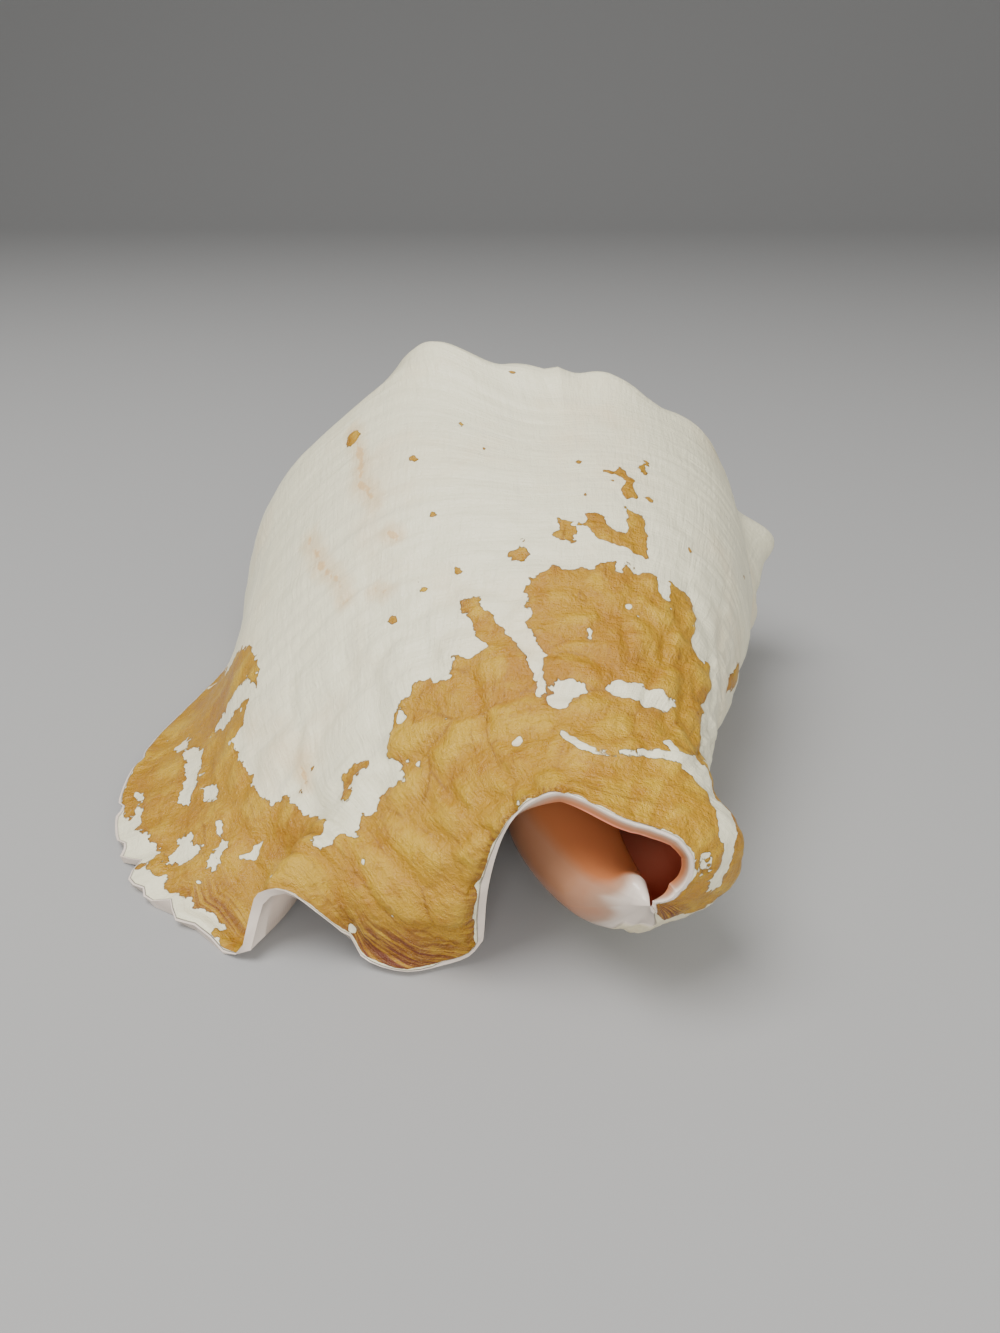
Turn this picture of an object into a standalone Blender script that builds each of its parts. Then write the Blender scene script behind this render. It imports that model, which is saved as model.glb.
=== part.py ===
"""Conch shell, one piece, grown as one tube wound around an axis.

The shell is written as a surface over two numbers.  The growth angle runs along the
coil, in degrees, and the row runs across the tube, from the seam on the turn before
to the front end.  Growth angle 90 is the top of the shell, 0 its right side, 180 its
left side and 270 its underside, seen from the front end.  Lengths are in millimetres
until the very end, where they turn into metres.
"""
import math

import bmesh
import bpy
import numpy as np

MM = 0.001

# Coil axis, from the front end of the shell to the tip of the spire.
AXIS_FRONT = (25.0, -80.0, 20.5)
AXIS_TIP = (27.0, 149.0, 56.0)
AXIS_LENGTH = 232.0
BEND_LENGTH = 18.0
BEND_RIGHT = 3.6
BEND_UP = 11.0

# Coil: growth per turn, number of turns, where the lip ends and where its flare starts.
GROWTH_PER_TURN = 1.55
TURNS = 6
LIP_ANGLE = 215.0
FLARE_ANGLE = 100.0
FRONT_TIP_ANGLE = -85.0

# Section of a turn at growth angle 90, measured from the tip of the spire.
SEAM_BACK, SEAM_RADIUS = 56.0, 32.5
CORNER_BACK, CORNER_RADIUS = 77.0, 54.0
SHOULDER_BACK, SHOULDER_RADIUS = 88.0, 52.5
CANAL_HEIGHT = 8.0
FRONT_ANGLES = (-720.0, -200.0, -85.0, -20.0, 10.0, 31.0, 47.0, 66.0, 82.0, 96.0, 111.0, 123.0)
FRONT_RADII = (2.6, 2.6, 3.0, 3.2, 5.2, 9.0, 12.0, 14.6, 15.7, 17.2, 20.3, 23.9)

# Rows of the seam and of the hollow's start on the turn before.
SEAM_ROW = 0.24
HOLLOW_ROW = 0.275

# Ridge that winds around the front end, left by the earlier edges of the canal.
ROPE_HEIGHT = 12.5
ROPE_CREST = 9.0
ROPE_PLACE = 17.0
SCROLL_GROOVE = 3.6
SCROLL_FOLD = 2.4
COLLAR_RIDGE = 1.5
COLLAR_ROW = 0.885

# Core seen through the canal: how far it leans left, and the knob at its front end.
CORE_LEAN = 4.2
CORE_LEAN_PLACE = 36.0
TIP_KNOB_RISE = 3.6
TIP_KNOB_PLACE = 5.0

# Walls and hollow.
BODY_WALL = 4.6
LIP_WALL = 2.3
LIP_TAPER = 38.0
HOLLOW_DEPTH_ANGLE = 100.0
HOLLOW_DEEP_ROW = 0.72

# Knobs along the shoulder and swellings below the largest: growth angle, height, width in degrees, row.
KNOBS = (
    (-170, 7.0, 11.0, 0.170),
    (-135, 8.0, 11.0, 0.170),
    (-100, 8.0, 10.0, 0.170),
    (-66, 9.0, 11.0, 0.170),
    (-36, 10.0, 11.0, 0.170),
    (-19, 12.5, 13.0, 0.330),
    (-10, 12.0, 13.0, 0.255),
    (-4, 17.0, 12.0, 0.180),
    (-12, 5.5, 24.0, 0.400),
    (-8, 4.5, 26.0, 0.500),
    (-6, 3.0, 26.0, 0.600),
    (52, 2.0, 12.0, 0.170),
    (88, 6.0, 14.0, 0.180),
    (106, 10.0, 12.0, 0.190),
    (124, 14.5, 16.0, 0.205),
    (168, 2.5, 12.0, 0.220),
)
SPIRE_KNOB_STEP = 40.0
SPIRE_KNOB_HEIGHT = 7.5
SPIRE_KNOBS_END = -188.0

# Flared lip: for each row three stations, the rim and the heading at the rim.
FLARE = (
    (0.00, (-8, 84, 66), (-15, 90, 45), (-12, 89, 34), (-6, 87, 24), (-0.5, 0.7, -0.5)),
    (0.12, (-15, 82, 78), (-40, 106, 46), (-44, 114, 34), (-46, 122, 24), (-0.4, 0.8, -0.3)),
    (0.24, (-28, 74, 94), (-70, 88, 54), (-80, 101, 29), (-87, 118, 9), (-0.6, 0.7, -0.4)),
    (0.42, (-29, 38, 86), (-71, 47, 46), (-82, 54, 20), (-91, 63, 4), (-1.0, 0.3, -0.4)),
    (0.53, (-27, 10, 73), (-69, 13, 34), (-82, 16, 14), (-101, 18, 4), (-1.0, 0.0, -0.05)),
    (0.61, (-25, -3, 66), (-65, -5, 29), (-79, -4, 12.5), (-102, -4, 3.5), (-1.0, -0.1, -0.2)),
    (0.68, (-22, -16, 60), (-59, -18, 26), (-74, -20, 12), (-97, -24, 2.6), (-1.0, -0.3, -0.2)),
    (0.74, (-19, -27, 56), (-52, -30, 24), (-65, -36, 11), (-86, -43, 2), (-0.9, -0.5, -0.2)),
    (0.775, (-17, -32, 54), (-48, -36, 22), (-58, -43, 9), (-73, -54, 2), (-0.6, -0.6, -0.15)),
    (0.80, (-14, -37, 52.5), (-43, -42, 22.5), (-50, -51, 6), (-57.5, -63.5, 1.6), (-0.5, -0.75, -0.1)),
    (0.818, (-12, -40.5, 51.5), (-40, -44.5, 25.5), (-47.5, -52.5, 15), (-54.5, -60.5, 9.5),
     (-0.45, -0.8, -0.2)),
    (0.838, (-10, -44.5, 50.5), (-36.5, -47, 28), (-44.5, -53.5, 23), (-51.5, -61.5, 17),
     (-0.45, -0.8, -0.3)),
    (0.858, (-7.5, -48, 49.5), (-32.5, -50, 29), (-40, -55, 25), (-45.5, -62.5, 18.5), (-0.4, -0.75, -0.5)),
    (0.88, (-4.5, -52, 48.5), (-27.5, -54, 29.5), (-35, -58.5, 23.5), (-38.5, -64, 13.5),
     (-0.35, -0.5, -0.8)),
    (0.90, (-1.5, -56, 48), (-22, -58.5, 29), (-30, -62.5, 20.5), (-33, -64.8, 8), (-0.3, -0.5, -0.8)),
    (0.92, (1.5, -60, 48), (-16.5, -62.5, 29.5), (-25, -65.5, 18), (-28.8, -66.5, 2.8),
     (-0.3, -0.55, -0.8)),
    (0.94, (5, -63.5, 48), (-11, -66, 30.5), (-18.5, -68, 16), (-20.5, -68.6, 1.5), (-0.15, -0.6, -0.8)),
    (0.962, (7.5, -67, 48.5), (-5.5, -68, 32.5), (-12, -69, 16.5), (-12, -66.6, 1.5), (0.0, -0.5, -0.85)),
    (0.98, (9, -69, 49), (-2.5, -68.5, 34.5), (-7, -68.5, 19), (-6.8, -65.5, 2.8), (0.0, -0.2, -1.0)),
    (1.00, (10.5, -71, 49.5), (0.5, -68.5, 37), (-2.4, -67, 23), (-3.6, -64.5, 6.5), (-0.1, 0.15, -1.0)),
)
STATIONS = (0.0, 1 / 3, 2 / 3, 5 / 6, 1.0)

# Chips broken out of the lip's rim: row, depth as a share of the flare, width in rows.
CHIPS = (
    (0.555, 0.008, 0.008),
    (0.640, 0.012, 0.006),
    (0.692, 0.014, 0.006),
    (0.715, 0.030, 0.007),
    (0.741, 0.010, 0.005),
    (0.762, 0.028, 0.006),
    (0.783, 0.020, 0.005),
    (0.905, 0.012, 0.005),
)

# Mesh: columns per turn, the flare's share of them, rows, rows of the spire and of the hollow.
COLUMNS = 58
FLARE_COLUMNS = 24
UPPER_ROWS = (0, 0.045, 0.085, 0.12, 0.15, 0.18, 0.21, SEAM_ROW)
LOWER_ROWS = (HOLLOW_ROW, 0.31, 0.35, 0.40, 0.45, 0.49, 0.53, 0.575, 0.62, 0.66, 0.69, 0.703,
              0.715, 0.73, 0.75, 0.762, 0.783, 0.80, 0.82, 0.84, 0.86, 0.885, 0.903,
              0.92, 0.94, 0.962, 0.982, 1.0)
SPIRE_ROWS = (0, 3, 5, 7)
HOLLOW_ROWS = (0, 2, 4, 6, 8, 10, 12, 14, 16, 18, 22, 25, 27, 29, 31, 33, 34, 35)

SHELL_COLOUR = (0.83, 0.79, 0.70, 1.0)


def clear_scene():
    """Removes what a new scene starts with."""
    for thing in list(bpy.data.objects):
        bpy.data.objects.remove(thing, do_unlink=True)


def ease(x):
    """Smooth step from 0 to 1."""
    x = np.clip(x, 0, 1)
    return x * x * (3 - 2 * x)


def bump(x):
    """Bell shape, 1 at zero."""
    return np.exp(-x * x)


def axis_frame():
    """Unit vectors to the right, along the axis and upwards."""
    along = np.subtract(AXIS_TIP, AXIS_FRONT)
    along /= np.linalg.norm(along)
    right = np.array([1.0, 0.0, 0.0])
    right -= along * (along @ right)
    right /= np.linalg.norm(right)
    return right, along, np.cross(right, along)


RIGHT, ALONG, UPWARD = axis_frame()
FIRST_ANGLE = LIP_ANGLE - 360.0 * TURNS


def turn_scale(angle):
    """Size of the coil at a growth angle, 1 on top of the last turn."""
    size = GROWTH_PER_TURN ** ((angle - 90.0) / 360.0)
    return size * np.clip((angle - FIRST_ANGLE) / 360.0, 0, 1)


def place(height, angle, radius):
    """Point at a height along the axis, an angle about it and a radius."""
    turn = np.radians(angle)
    bend = np.exp(-np.maximum(height, 0) / BEND_LENGTH)
    side = radius * np.cos(turn) + BEND_RIGHT * bend
    rise = radius * np.sin(turn) + BEND_UP * bend
    return (np.array(AXIS_FRONT) + height[..., None] * ALONG
            + side[..., None] * RIGHT + rise[..., None] * UPWARD)


def canal_height(angle):
    """Height of the front end above the tip of the core."""
    return CANAL_HEIGHT * ease((angle - FRONT_TIP_ANGLE) / 185.0)


def section(angle, row):
    """Height and radius of the coiled outside."""
    size = turn_scale(angle)
    k = np.clip(row / SEAM_ROW, 0, 1)
    b0, b1, b2 = (1 - k) ** 2, 2 * k * (1 - k), k * k
    high = AXIS_LENGTH - size * (b0 * SEAM_BACK + b1 * CORNER_BACK + b2 * SHOULDER_BACK)
    wide = size * (b0 * SEAM_RADIUS + b1 * CORNER_RADIUS + b2 * SHOULDER_RADIUS)
    down = np.clip((row - SEAM_ROW) / (1 - SEAM_ROW), 0, 1)
    top, top_radius = AXIS_LENGTH - size * SHOULDER_BACK, size * SHOULDER_RADIUS
    end = canal_height(angle)
    end_radius = np.interp(angle, FRONT_ANGLES, FRONT_RADII)
    end_radius = np.minimum(end_radius, top_radius * 0.6)
    power = 1.05 + 0.35 * bump((angle - 5.0) / 60.0) - 0.3 * bump((angle + 150.0) / 60.0)
    power = power + 1.6 * ease((-190.0 - angle) / 110.0)
    body = top + (end - top) * down
    rope = ROPE_HEIGHT * (1 - np.exp(-np.maximum(body - end, 0) / 7.0)) * np.exp(-body / 32.0)
    rope = rope + ROPE_CREST * bump((body - ROPE_PLACE) / 8.5) * bump((angle + 5.0) / 60.0)
    rope = rope * ease((angle + 230.0) / 150.0) * (1 - 0.85 * ease((angle - 15.0) / 75.0))
    radius = end_radius + (top_radius - end_radius) * (1 - down**1.8) ** power + rope
    collar = COLLAR_ROW + 0.02 * bump((angle - 98.0) / 14.0)
    radius = radius + COLLAR_RIDGE * bump((row - collar) / 0.017) * bump((angle - 72.0) / 48.0)
    by_tip = 1 - ease(body / 16.0)
    radius = radius - SCROLL_GROOVE * by_tip * bump((angle + 32.0) / 22.0)
    radius = np.maximum(radius + SCROLL_FOLD * by_tip * bump((angle + 75.0) / 20.0), 1.2)
    shut = 1 - ease((angle - FRONT_TIP_ANGLE) / 55.0)
    radius = radius * np.sqrt(np.clip(1 - shut * ease((down - 0.93) / 0.07), 0, 1))
    knob = TIP_KNOB_RISE * bump((body - TIP_KNOB_PLACE) / 4.5) * bump((angle + 245.0) / 50.0)
    radius = radius + knob * np.sqrt(np.clip(body / TIP_KNOB_PLACE, 0, 1))
    upper = row <= SEAM_ROW
    return np.where(upper, high, body), np.where(upper, wide, radius)


def knob_height(angle, row):
    """How far the knobs stand out of the shoulder."""
    total = np.zeros(np.broadcast(angle, row).shape)
    for at, height, width, knob_row in KNOBS:
        one = height * bump((angle - at) / width) * bump((row - knob_row) / (0.055 + 0.002 * height))
        total = (total**3 + one**3) ** (1 / 3)
    step = np.mod(angle - 10.0, SPIRE_KNOB_STEP) - SPIRE_KNOB_STEP / 2
    early = SPIRE_KNOB_HEIGHT * turn_scale(angle) * bump(step / 10.0) * bump((row - 0.17) / 0.06)
    return np.where(angle < SPIRE_KNOBS_END, early, total)


def curve(places, values, at):
    """Smooth curve through values given at places."""
    places = np.asarray(places, float)
    values = np.asarray(values, float)
    slope = np.gradient(values, places, axis=0)
    i = np.clip(np.searchsorted(places, at, side="right") - 1, 0, len(places) - 2)
    width = (places[i + 1] - places[i])[..., None]
    x = (at - places[i])[..., None] / width
    return hermite(values[i], values[i + 1], width * slope[i], width * slope[i + 1], x)


def hermite(start, end, start_slope, end_slope, x):
    """Cubic curve between two points with given slopes."""
    return ((2 * x**3 - 3 * x**2 + 1) * start + (x**3 - 2 * x**2 + x) * start_slope
            + (-2 * x**3 + 3 * x**2) * end + (x**3 - x**2) * end_slope)


def flare_start(row):
    """Point and direction of growth where the flare begins."""
    here = np.full_like(row, FLARE_ANGLE)
    height, radius = section(here, row)
    point = place(height, here, radius)
    height, radius = section(here - 0.5, row)
    ahead = point - place(height, here - 0.5, radius)
    return point, ahead / np.maximum(np.linalg.norm(ahead, axis=-1, keepdims=True), 1e-9)


def strand(share, row):
    """Point of the flare, share 0 at its start and 1 at the rim."""
    rows = [line[0] for line in FLARE]
    later = [curve(rows, [line[k] for line in FLARE], row) for k in (1, 2, 3, 4)]
    heading = curve(rows, [line[5] for line in FLARE], row)
    heading = heading / np.linalg.norm(heading, axis=-1, keepdims=True)
    start, ahead = flare_start(row)
    points = np.stack([start] + later)
    at = np.array(STATIONS)
    slopes = np.zeros_like(points)
    first = np.linalg.norm(points[1] - points[0], axis=-1, keepdims=True)
    final = np.linalg.norm(points[-1] - points[-2], axis=-1, keepdims=True)
    slopes[0] = ahead * first / (at[1] - at[0])
    slopes[-1] = heading * final / (at[-1] - at[-2])
    for k in range(1, len(at) - 1):
        a, b = at[k] - at[k - 1], at[k + 1] - at[k]
        before = (points[k] - points[k - 1]) / a
        after = (points[k + 1] - points[k]) / b
        slopes[k] = (before * b + after * a) / (a + b)
    share = np.clip(share, 0, 1)
    i = np.clip(np.searchsorted(at, share, side="right") - 1, 0, len(at) - 2)
    width = (at[i + 1] - at[i])[:, None]
    x = (share - at[i])[:, None] / width
    n = np.arange(len(row))
    return hermite(points[i, n], points[i + 1, n], slopes[i, n] * width, slopes[i + 1, n] * width, x)


def flare_point(share, row):
    """Point of the flare, with its upper edge held on the turn before."""
    angle = FLARE_ANGLE + share * (LIP_ANGLE - FLARE_ANGLE)
    height, radius = section(angle - 360.0, np.full_like(row, SEAM_ROW))
    gap = place(height, angle, radius) - strand(share, np.zeros_like(row))
    chipped = share - share**8 * sum(depth * bump((row - at) / width) for at, depth, width in CHIPS)
    return strand(chipped, row) + gap * (1 - ease(row / SEAM_ROW))[:, None]


def outside(angle, row):
    """Points of the outside."""
    angle, row = np.broadcast_arrays(np.asarray(angle, float), np.asarray(row, float))
    coiled = np.minimum(angle, FLARE_ANGLE)
    height, radius = section(coiled, row)
    knob = knob_height(angle, row)
    on_coil = np.where(angle <= FLARE_ANGLE, knob, 0)
    points = place(height + 0.25 * on_coil, coiled, radius + on_coil)
    lean = CORE_LEAN * ease((-35.0 - angle) / 45.0) * bump((height - CORE_LEAN_PLACE) / 22.0)
    points -= lean[..., None] * RIGHT
    flared = angle > FLARE_ANGLE
    if flared.any():
        share = (angle[flared] - FLARE_ANGLE) / (LIP_ANGLE - FLARE_ANGLE)
        points[flared] = flare_point(share, row[flared])
        points[flared] += knob[flared][:, None] * np.array([-0.5, 0.2, 0.85])
    return points


def deep_row(angle, row):
    """Row value where the hollow's deep part ends short of the front tip."""
    depth = ease((FRONT_TIP_ANGLE - angle) / HOLLOW_DEPTH_ANGLE)
    end = 1.0 - (1.0 - HOLLOW_DEEP_ROW) * depth
    squeezed = HOLLOW_ROW + (row - HOLLOW_ROW) * (end - HOLLOW_ROW) / (1 - HOLLOW_ROW)
    return np.where(row > HOLLOW_ROW, squeezed, row)


def outward(angle, row):
    """Unit vectors pointing out of the outside."""
    row_low, row_high = np.clip(row - 0.003, 0, 1), np.clip(row + 0.003, 0, 1)
    along = outside(np.minimum(angle + 0.4, LIP_ANGLE), row) - outside(angle - 0.4, row)
    across = outside(angle, row_high) - outside(angle, row_low)
    normal = np.cross(along, across)
    return normal / np.maximum(np.linalg.norm(normal, axis=-1, keepdims=True), 1e-9)


def wall(angle, row):
    """Wall thickness, thin at the rim of the lip and of the canal."""
    by_lip = ease((LIP_ANGLE - angle) / LIP_TAPER)
    by_canal = ease((1 - row) / 0.16)
    return LIP_WALL + (BODY_WALL - LIP_WALL) * by_lip * by_canal


def room(angle, row):
    """Distance from the outside to the turn before."""
    height, radius = section(np.minimum(angle, FLARE_ANGLE), row)
    size = turn_scale(angle - 360.0)
    top = AXIS_LENGTH - size * SHOULDER_BACK
    end = canal_height(angle - 360.0)
    down = np.clip((top - height) / (top - end), 0, 1)
    core = section(angle - 360.0, SEAM_ROW + down * (1 - SEAM_ROW))[1]
    return np.where(angle > FLARE_ANGLE, 40.0, np.maximum(radius - core, 0.8))


def inside(angle, row):
    """Points of the hollow's outer wall."""
    angle, row = np.broadcast_arrays(np.asarray(angle, float), np.asarray(row, float))
    at = np.where(angle < FRONT_TIP_ANGLE, deep_row(angle, row), row)
    thick = np.minimum(wall(angle, row), 0.45 * room(angle, at))
    points = outside(angle, at) - outward(angle, np.clip(at, 0.02, 0.985)) * thick[..., None]
    begin = 0.10
    early = np.full_like(row, begin)
    first = outside(angle - 360.0, np.full_like(row, HOLLOW_ROW))
    next_one = outside(angle, early) - outward(angle, early) * wall(angle, row)[..., None]
    mix = np.clip(row / begin, 0, 1)[..., None]
    points = np.where(row[..., None] < begin, first * (1 - mix) + next_one * mix, points)
    tip = outside(angle - 360.0, deep_row(angle, np.ones_like(row)))
    near = ease((row - 0.85) / 0.15) * (1 - ease((angle - FRONT_TIP_ANGLE) / 30.0))
    return points * (1 - near[..., None]) + tip * near[..., None]


def growth_angles():
    """Growth angles of all columns, closer together on the flare."""
    rest = COLUMNS - FLARE_COLUMNS
    coil = np.linspace(LIP_ANGLE - 360.0, FLARE_ANGLE - 5.0, rest + 1)[:-1]
    coil[int(np.argmin(abs(coil - FRONT_TIP_ANGLE)))] = FRONT_TIP_ANGLE
    flare = np.linspace(FLARE_ANGLE - 5.0, LIP_ANGLE, FLARE_COLUMNS + 1)[:-1]
    turn = np.concatenate([coil, flare])
    turns = [turn - 360.0 * k for k in range(TURNS - 1, -1, -1)]
    return np.concatenate(turns + [[LIP_ANGLE]])


class ShellMesh:
    """Closed skin of the shell, outside and hollow joined at the rims."""

    def __init__(self):
        self.rows = np.array(UPPER_ROWS + LOWER_ROWS, float)
        self.seam = len(UPPER_ROWS) - 1
        self.join = self.seam + 1
        self.last = len(self.rows) - 1
        self.angles = growth_angles()
        self.rim = len(self.angles) - 1
        self.back = self.rim - COLUMNS
        self.tip = int(np.argmin(abs(self.angles - FRONT_TIP_ANGLE)))
        deep_angle = FRONT_TIP_ANGLE - HOLLOW_DEPTH_ANGLE
        self.deep = int(np.argmin(abs(self.angles - deep_angle)))
        angle, row = np.meshgrid(self.angles, self.rows, indexing="ij")
        core = angle < FRONT_TIP_ANGLE - 360.0 - 1e-6
        self.outer = outside(angle, np.where(core, deep_row(angle + 360.0, row), row))
        self.inner = inside(angle[self.deep:], row[self.deep:])
        self.points = []
        self.index = {}
        self.faces = []

    def vertex(self, side, column, row):
        """Index of a vertex, shared where the turns meet."""
        if side == "out" and row == 0 and column >= COLUMNS:
            return self.vertex("out", column - COLUMNS, self.seam)
        if side == "in" and row == 0:
            return self.vertex("out", column - COLUMNS, self.join)
        if side == "in" and row == self.last and column <= self.tip:
            return self.vertex("out", column - COLUMNS, self.last)
        key = (side, column, row)
        if side == "out" and (row == 0 or column == 0):
            key = "spire tip"
        elif side == "out" and row == self.last and self.tip - COLUMNS <= column <= self.tip:
            key = "front tip"
        if key not in self.index:
            self.index[key] = len(self.points)
            if key == "spire tip":
                point = self.outer[0, 0]
            elif key == "front tip":
                point = self.outer[self.tip, self.last]
            elif side == "out":
                point = self.outer[column, row]
            else:
                point = self.inner[column - self.deep, row]
            self.points.append(point)
        return self.index[key]

    def face(self, *corners):
        """Adds a face, leaving out corners that fall together."""
        kept = []
        for corner in corners:
            if corner not in kept:
                kept.append(corner)
        if len(kept) >= 3:
            self.faces.append(tuple(reversed(kept)))

    def strip(self, column, rows, widen):
        """Outside faces between two columns, with all rows on the far side if widened."""
        for a, b in zip(rows[:-1], rows[1:]):
            far = [i for i in range(b, a - 1, -1) if widen or i in (a, b)]
            self.face(self.vertex("out", column, a), self.vertex("out", column, b),
                      *[self.vertex("out", column + 1, i) for i in far])

    def skin(self):
        """Builds all faces of the closed skin."""
        spire = list(SPIRE_ROWS)
        hollow = list(HOLLOW_ROWS)
        low = [i for i in hollow if i >= self.join]
        for column in range(self.back):
            self.strip(column, spire, column == self.back - 1)
        for column in range(self.deep - COLUMNS, self.back):
            self.strip(column, low, column == self.back - 1)
        for column in range(self.back, self.rim):
            self.strip(column, list(range(self.last + 1)), False)
        out, inn = "out", "in"
        for column in range(self.deep, self.rim):
            for a, b in zip(hollow[:-1], hollow[1:]):
                self.face(self.vertex(inn, column, a), self.vertex(inn, column + 1, a),
                          self.vertex(inn, column + 1, b), self.vertex(inn, column, b))
        for column in range(self.tip, self.rim):
            self.face(self.vertex(out, column, self.last), self.vertex(inn, column, self.last),
                      self.vertex(inn, column + 1, self.last), self.vertex(out, column + 1, self.last))
        for a, b in zip(hollow[:-1], hollow[1:]):
            self.face(*[self.vertex(out, self.rim, i) for i in range(a, b + 1)],
                      self.vertex(inn, self.rim, b), self.vertex(inn, self.rim, a))
            far = self.deep - COLUMNS
            self.face(self.vertex(inn, self.deep, a), self.vertex(inn, self.deep, b),
                      self.vertex(out, far, max(b, self.join)), self.vertex(out, far, max(a, self.join)))


def shell_material():
    """Ivory, slightly glossy shell."""
    material = bpy.data.materials.new("shell_ivory")
    material.use_nodes = True
    shader = material.node_tree.nodes["Principled BSDF"]
    shader.inputs["Base Color"].default_value = SHELL_COLOUR
    shader.inputs["Roughness"].default_value = 0.45
    material.diffuse_color = SHELL_COLOUR
    return material


def shell_object():
    """The shell as one smooth-shaded body standing on the floor."""
    skin = ShellMesh()
    skin.skin()
    points = np.array(skin.points)
    points[:, 2] = np.maximum(points[:, 2], 0.0)
    low, high = points.min(axis=0), points.max(axis=0)
    points[:, :2] -= (low[:2] + high[:2]) / 2
    mesh = bpy.data.meshes.new("conch_shell")
    mesh.from_pydata([tuple(float(v) * MM for v in p) for p in points], [], skin.faces)
    work = bmesh.new()
    work.from_mesh(mesh)
    bmesh.ops.triangulate(work, faces=work.faces[:], quad_method="SHORT_EDGE", ngon_method="EAR_CLIP")
    bmesh.ops.recalc_face_normals(work, faces=work.faces[:])
    work.to_mesh(mesh)
    work.free()
    shell = bpy.data.objects.new("conch_shell", mesh)
    bpy.context.scene.collection.objects.link(shell)
    shell.data.materials.append(shell_material())
    for polygon in mesh.polygons:
        polygon.use_smooth = True
    mesh.set_sharp_from_angle(angle=math.radians(50))
    return shell


clear_scene()
shell_object()
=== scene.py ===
"""Looks of the conch shell: its surface in full detail, its finishes and a plain studio.

The shell is one surface over two numbers.  The growth angle runs along the coil in
degrees and the row runs across it, from the seam to the front end.  The form is worked
out in millimetres and becomes metres when the mesh is made.

Shapes along an angle, a row or a height are kept as short tuples: a hill is (height,
place, width) and a slope is (start, width), where a negative width runs the other way.
"""

import logging
import math
from dataclasses import dataclass, field
from enum import Enum
from typing import Callable, Union

import bmesh
import bpy
import numpy as np
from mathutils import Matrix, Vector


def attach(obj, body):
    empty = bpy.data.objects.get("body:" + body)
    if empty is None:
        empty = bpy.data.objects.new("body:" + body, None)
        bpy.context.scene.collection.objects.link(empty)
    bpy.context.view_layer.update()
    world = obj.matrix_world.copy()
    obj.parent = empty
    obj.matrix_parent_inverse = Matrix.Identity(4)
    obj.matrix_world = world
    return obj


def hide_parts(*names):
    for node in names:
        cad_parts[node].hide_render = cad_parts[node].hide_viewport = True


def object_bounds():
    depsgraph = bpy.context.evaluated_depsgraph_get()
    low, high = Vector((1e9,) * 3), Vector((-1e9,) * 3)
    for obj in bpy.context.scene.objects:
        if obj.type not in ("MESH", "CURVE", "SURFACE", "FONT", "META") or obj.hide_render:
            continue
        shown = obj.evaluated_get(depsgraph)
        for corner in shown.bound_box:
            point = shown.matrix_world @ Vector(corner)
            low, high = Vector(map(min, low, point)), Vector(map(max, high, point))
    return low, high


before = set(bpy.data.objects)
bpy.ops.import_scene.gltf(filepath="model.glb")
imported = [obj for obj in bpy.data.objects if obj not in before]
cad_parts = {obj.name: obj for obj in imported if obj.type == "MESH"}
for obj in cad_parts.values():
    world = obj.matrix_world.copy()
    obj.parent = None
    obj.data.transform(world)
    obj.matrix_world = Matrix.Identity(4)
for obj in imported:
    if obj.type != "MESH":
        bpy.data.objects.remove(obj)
CAD_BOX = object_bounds()

MM = 0.001
TURN = 360.0
TINY = 1e-9
LOG = logging.getLogger("conch")

Array = np.ndarray
Socket = bpy.types.NodeSocket
Value = Union[Socket, float]
Colour = Union[Socket, tuple]


def ease(x: Array) -> Array:
    """Smooth step from 0 to 1."""
    x = np.clip(x, 0, 1)
    return x * x * (3 - 2 * x)


def bump(x: Array) -> Array:
    """Bell shape, 1 at zero."""
    return np.exp(-x * x)


def hill(x: Array, height: float, place: float, width: float) -> Array:
    """Bell shape with a given height, place and width."""
    return height * bump((x - place) / width)


def slope(x: Array, start: float, width: float) -> Array:
    """Smooth step that starts at a place, downwards where the width is negative."""
    return ease((x - start) / width)


def unit(vectors: Array) -> Array:
    """Vectors of length 1 in the same directions."""
    return vectors / np.maximum(np.linalg.norm(vectors, axis=-1, keepdims=True), TINY)


def hermite(start: Array, end: Array, start_slope: Array, end_slope: Array, x: Array) -> Array:
    """Cubic curve between two points with given slopes.

    Args:
        start: Value where x is 0.
        end: Value where x is 1.
        start_slope: Slope at the start.
        end_slope: Slope at the end.
        x: Share of the way.

    Returns:
        The values at x.
    """
    return ((2 * x**3 - 3 * x**2 + 1) * start + (x**3 - 2 * x**2 + x) * start_slope
            + (-2 * x**3 + 3 * x**2) * end + (x**3 - x**2) * end_slope)


def curve(places: list, values: list, at: Array) -> Array:
    """Smooth curve through values given at places.

    Args:
        places: Rising places of the values.
        values: One value or point for each place.
        at: Places to read.

    Returns:
        The values at those places.
    """
    places = np.asarray(places, float)
    values = np.asarray(values, float)
    slopes = np.gradient(values, places, axis=0)
    i = np.clip(np.searchsorted(places, at, side="right") - 1, 0, len(places) - 2)
    width = (places[i + 1] - places[i])[..., None]
    x = (at - places[i])[..., None] / width
    return hermite(values[i], values[i + 1], width * slopes[i], width * slopes[i + 1], x)


def from_segment(x: Array, y: Array, start: Array, end: Array) -> tuple:
    """Distance to a straight line between two points.

    Args:
        x: Places across.
        y: Places up.
        start: First end of the line.
        end: Its other end.

    Returns:
        The distances, and for each place the share of the way along the line.
    """
    dx, dy = end[0] - start[0], end[1] - start[1]
    share = ((x - start[0]) * dx + (y - start[1]) * dy) / max(dx * dx + dy * dy, TINY)
    share = np.clip(share, 0, 1)
    return np.hypot(x - start[0] - share * dx, y - start[1] - share * dy), share


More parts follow.
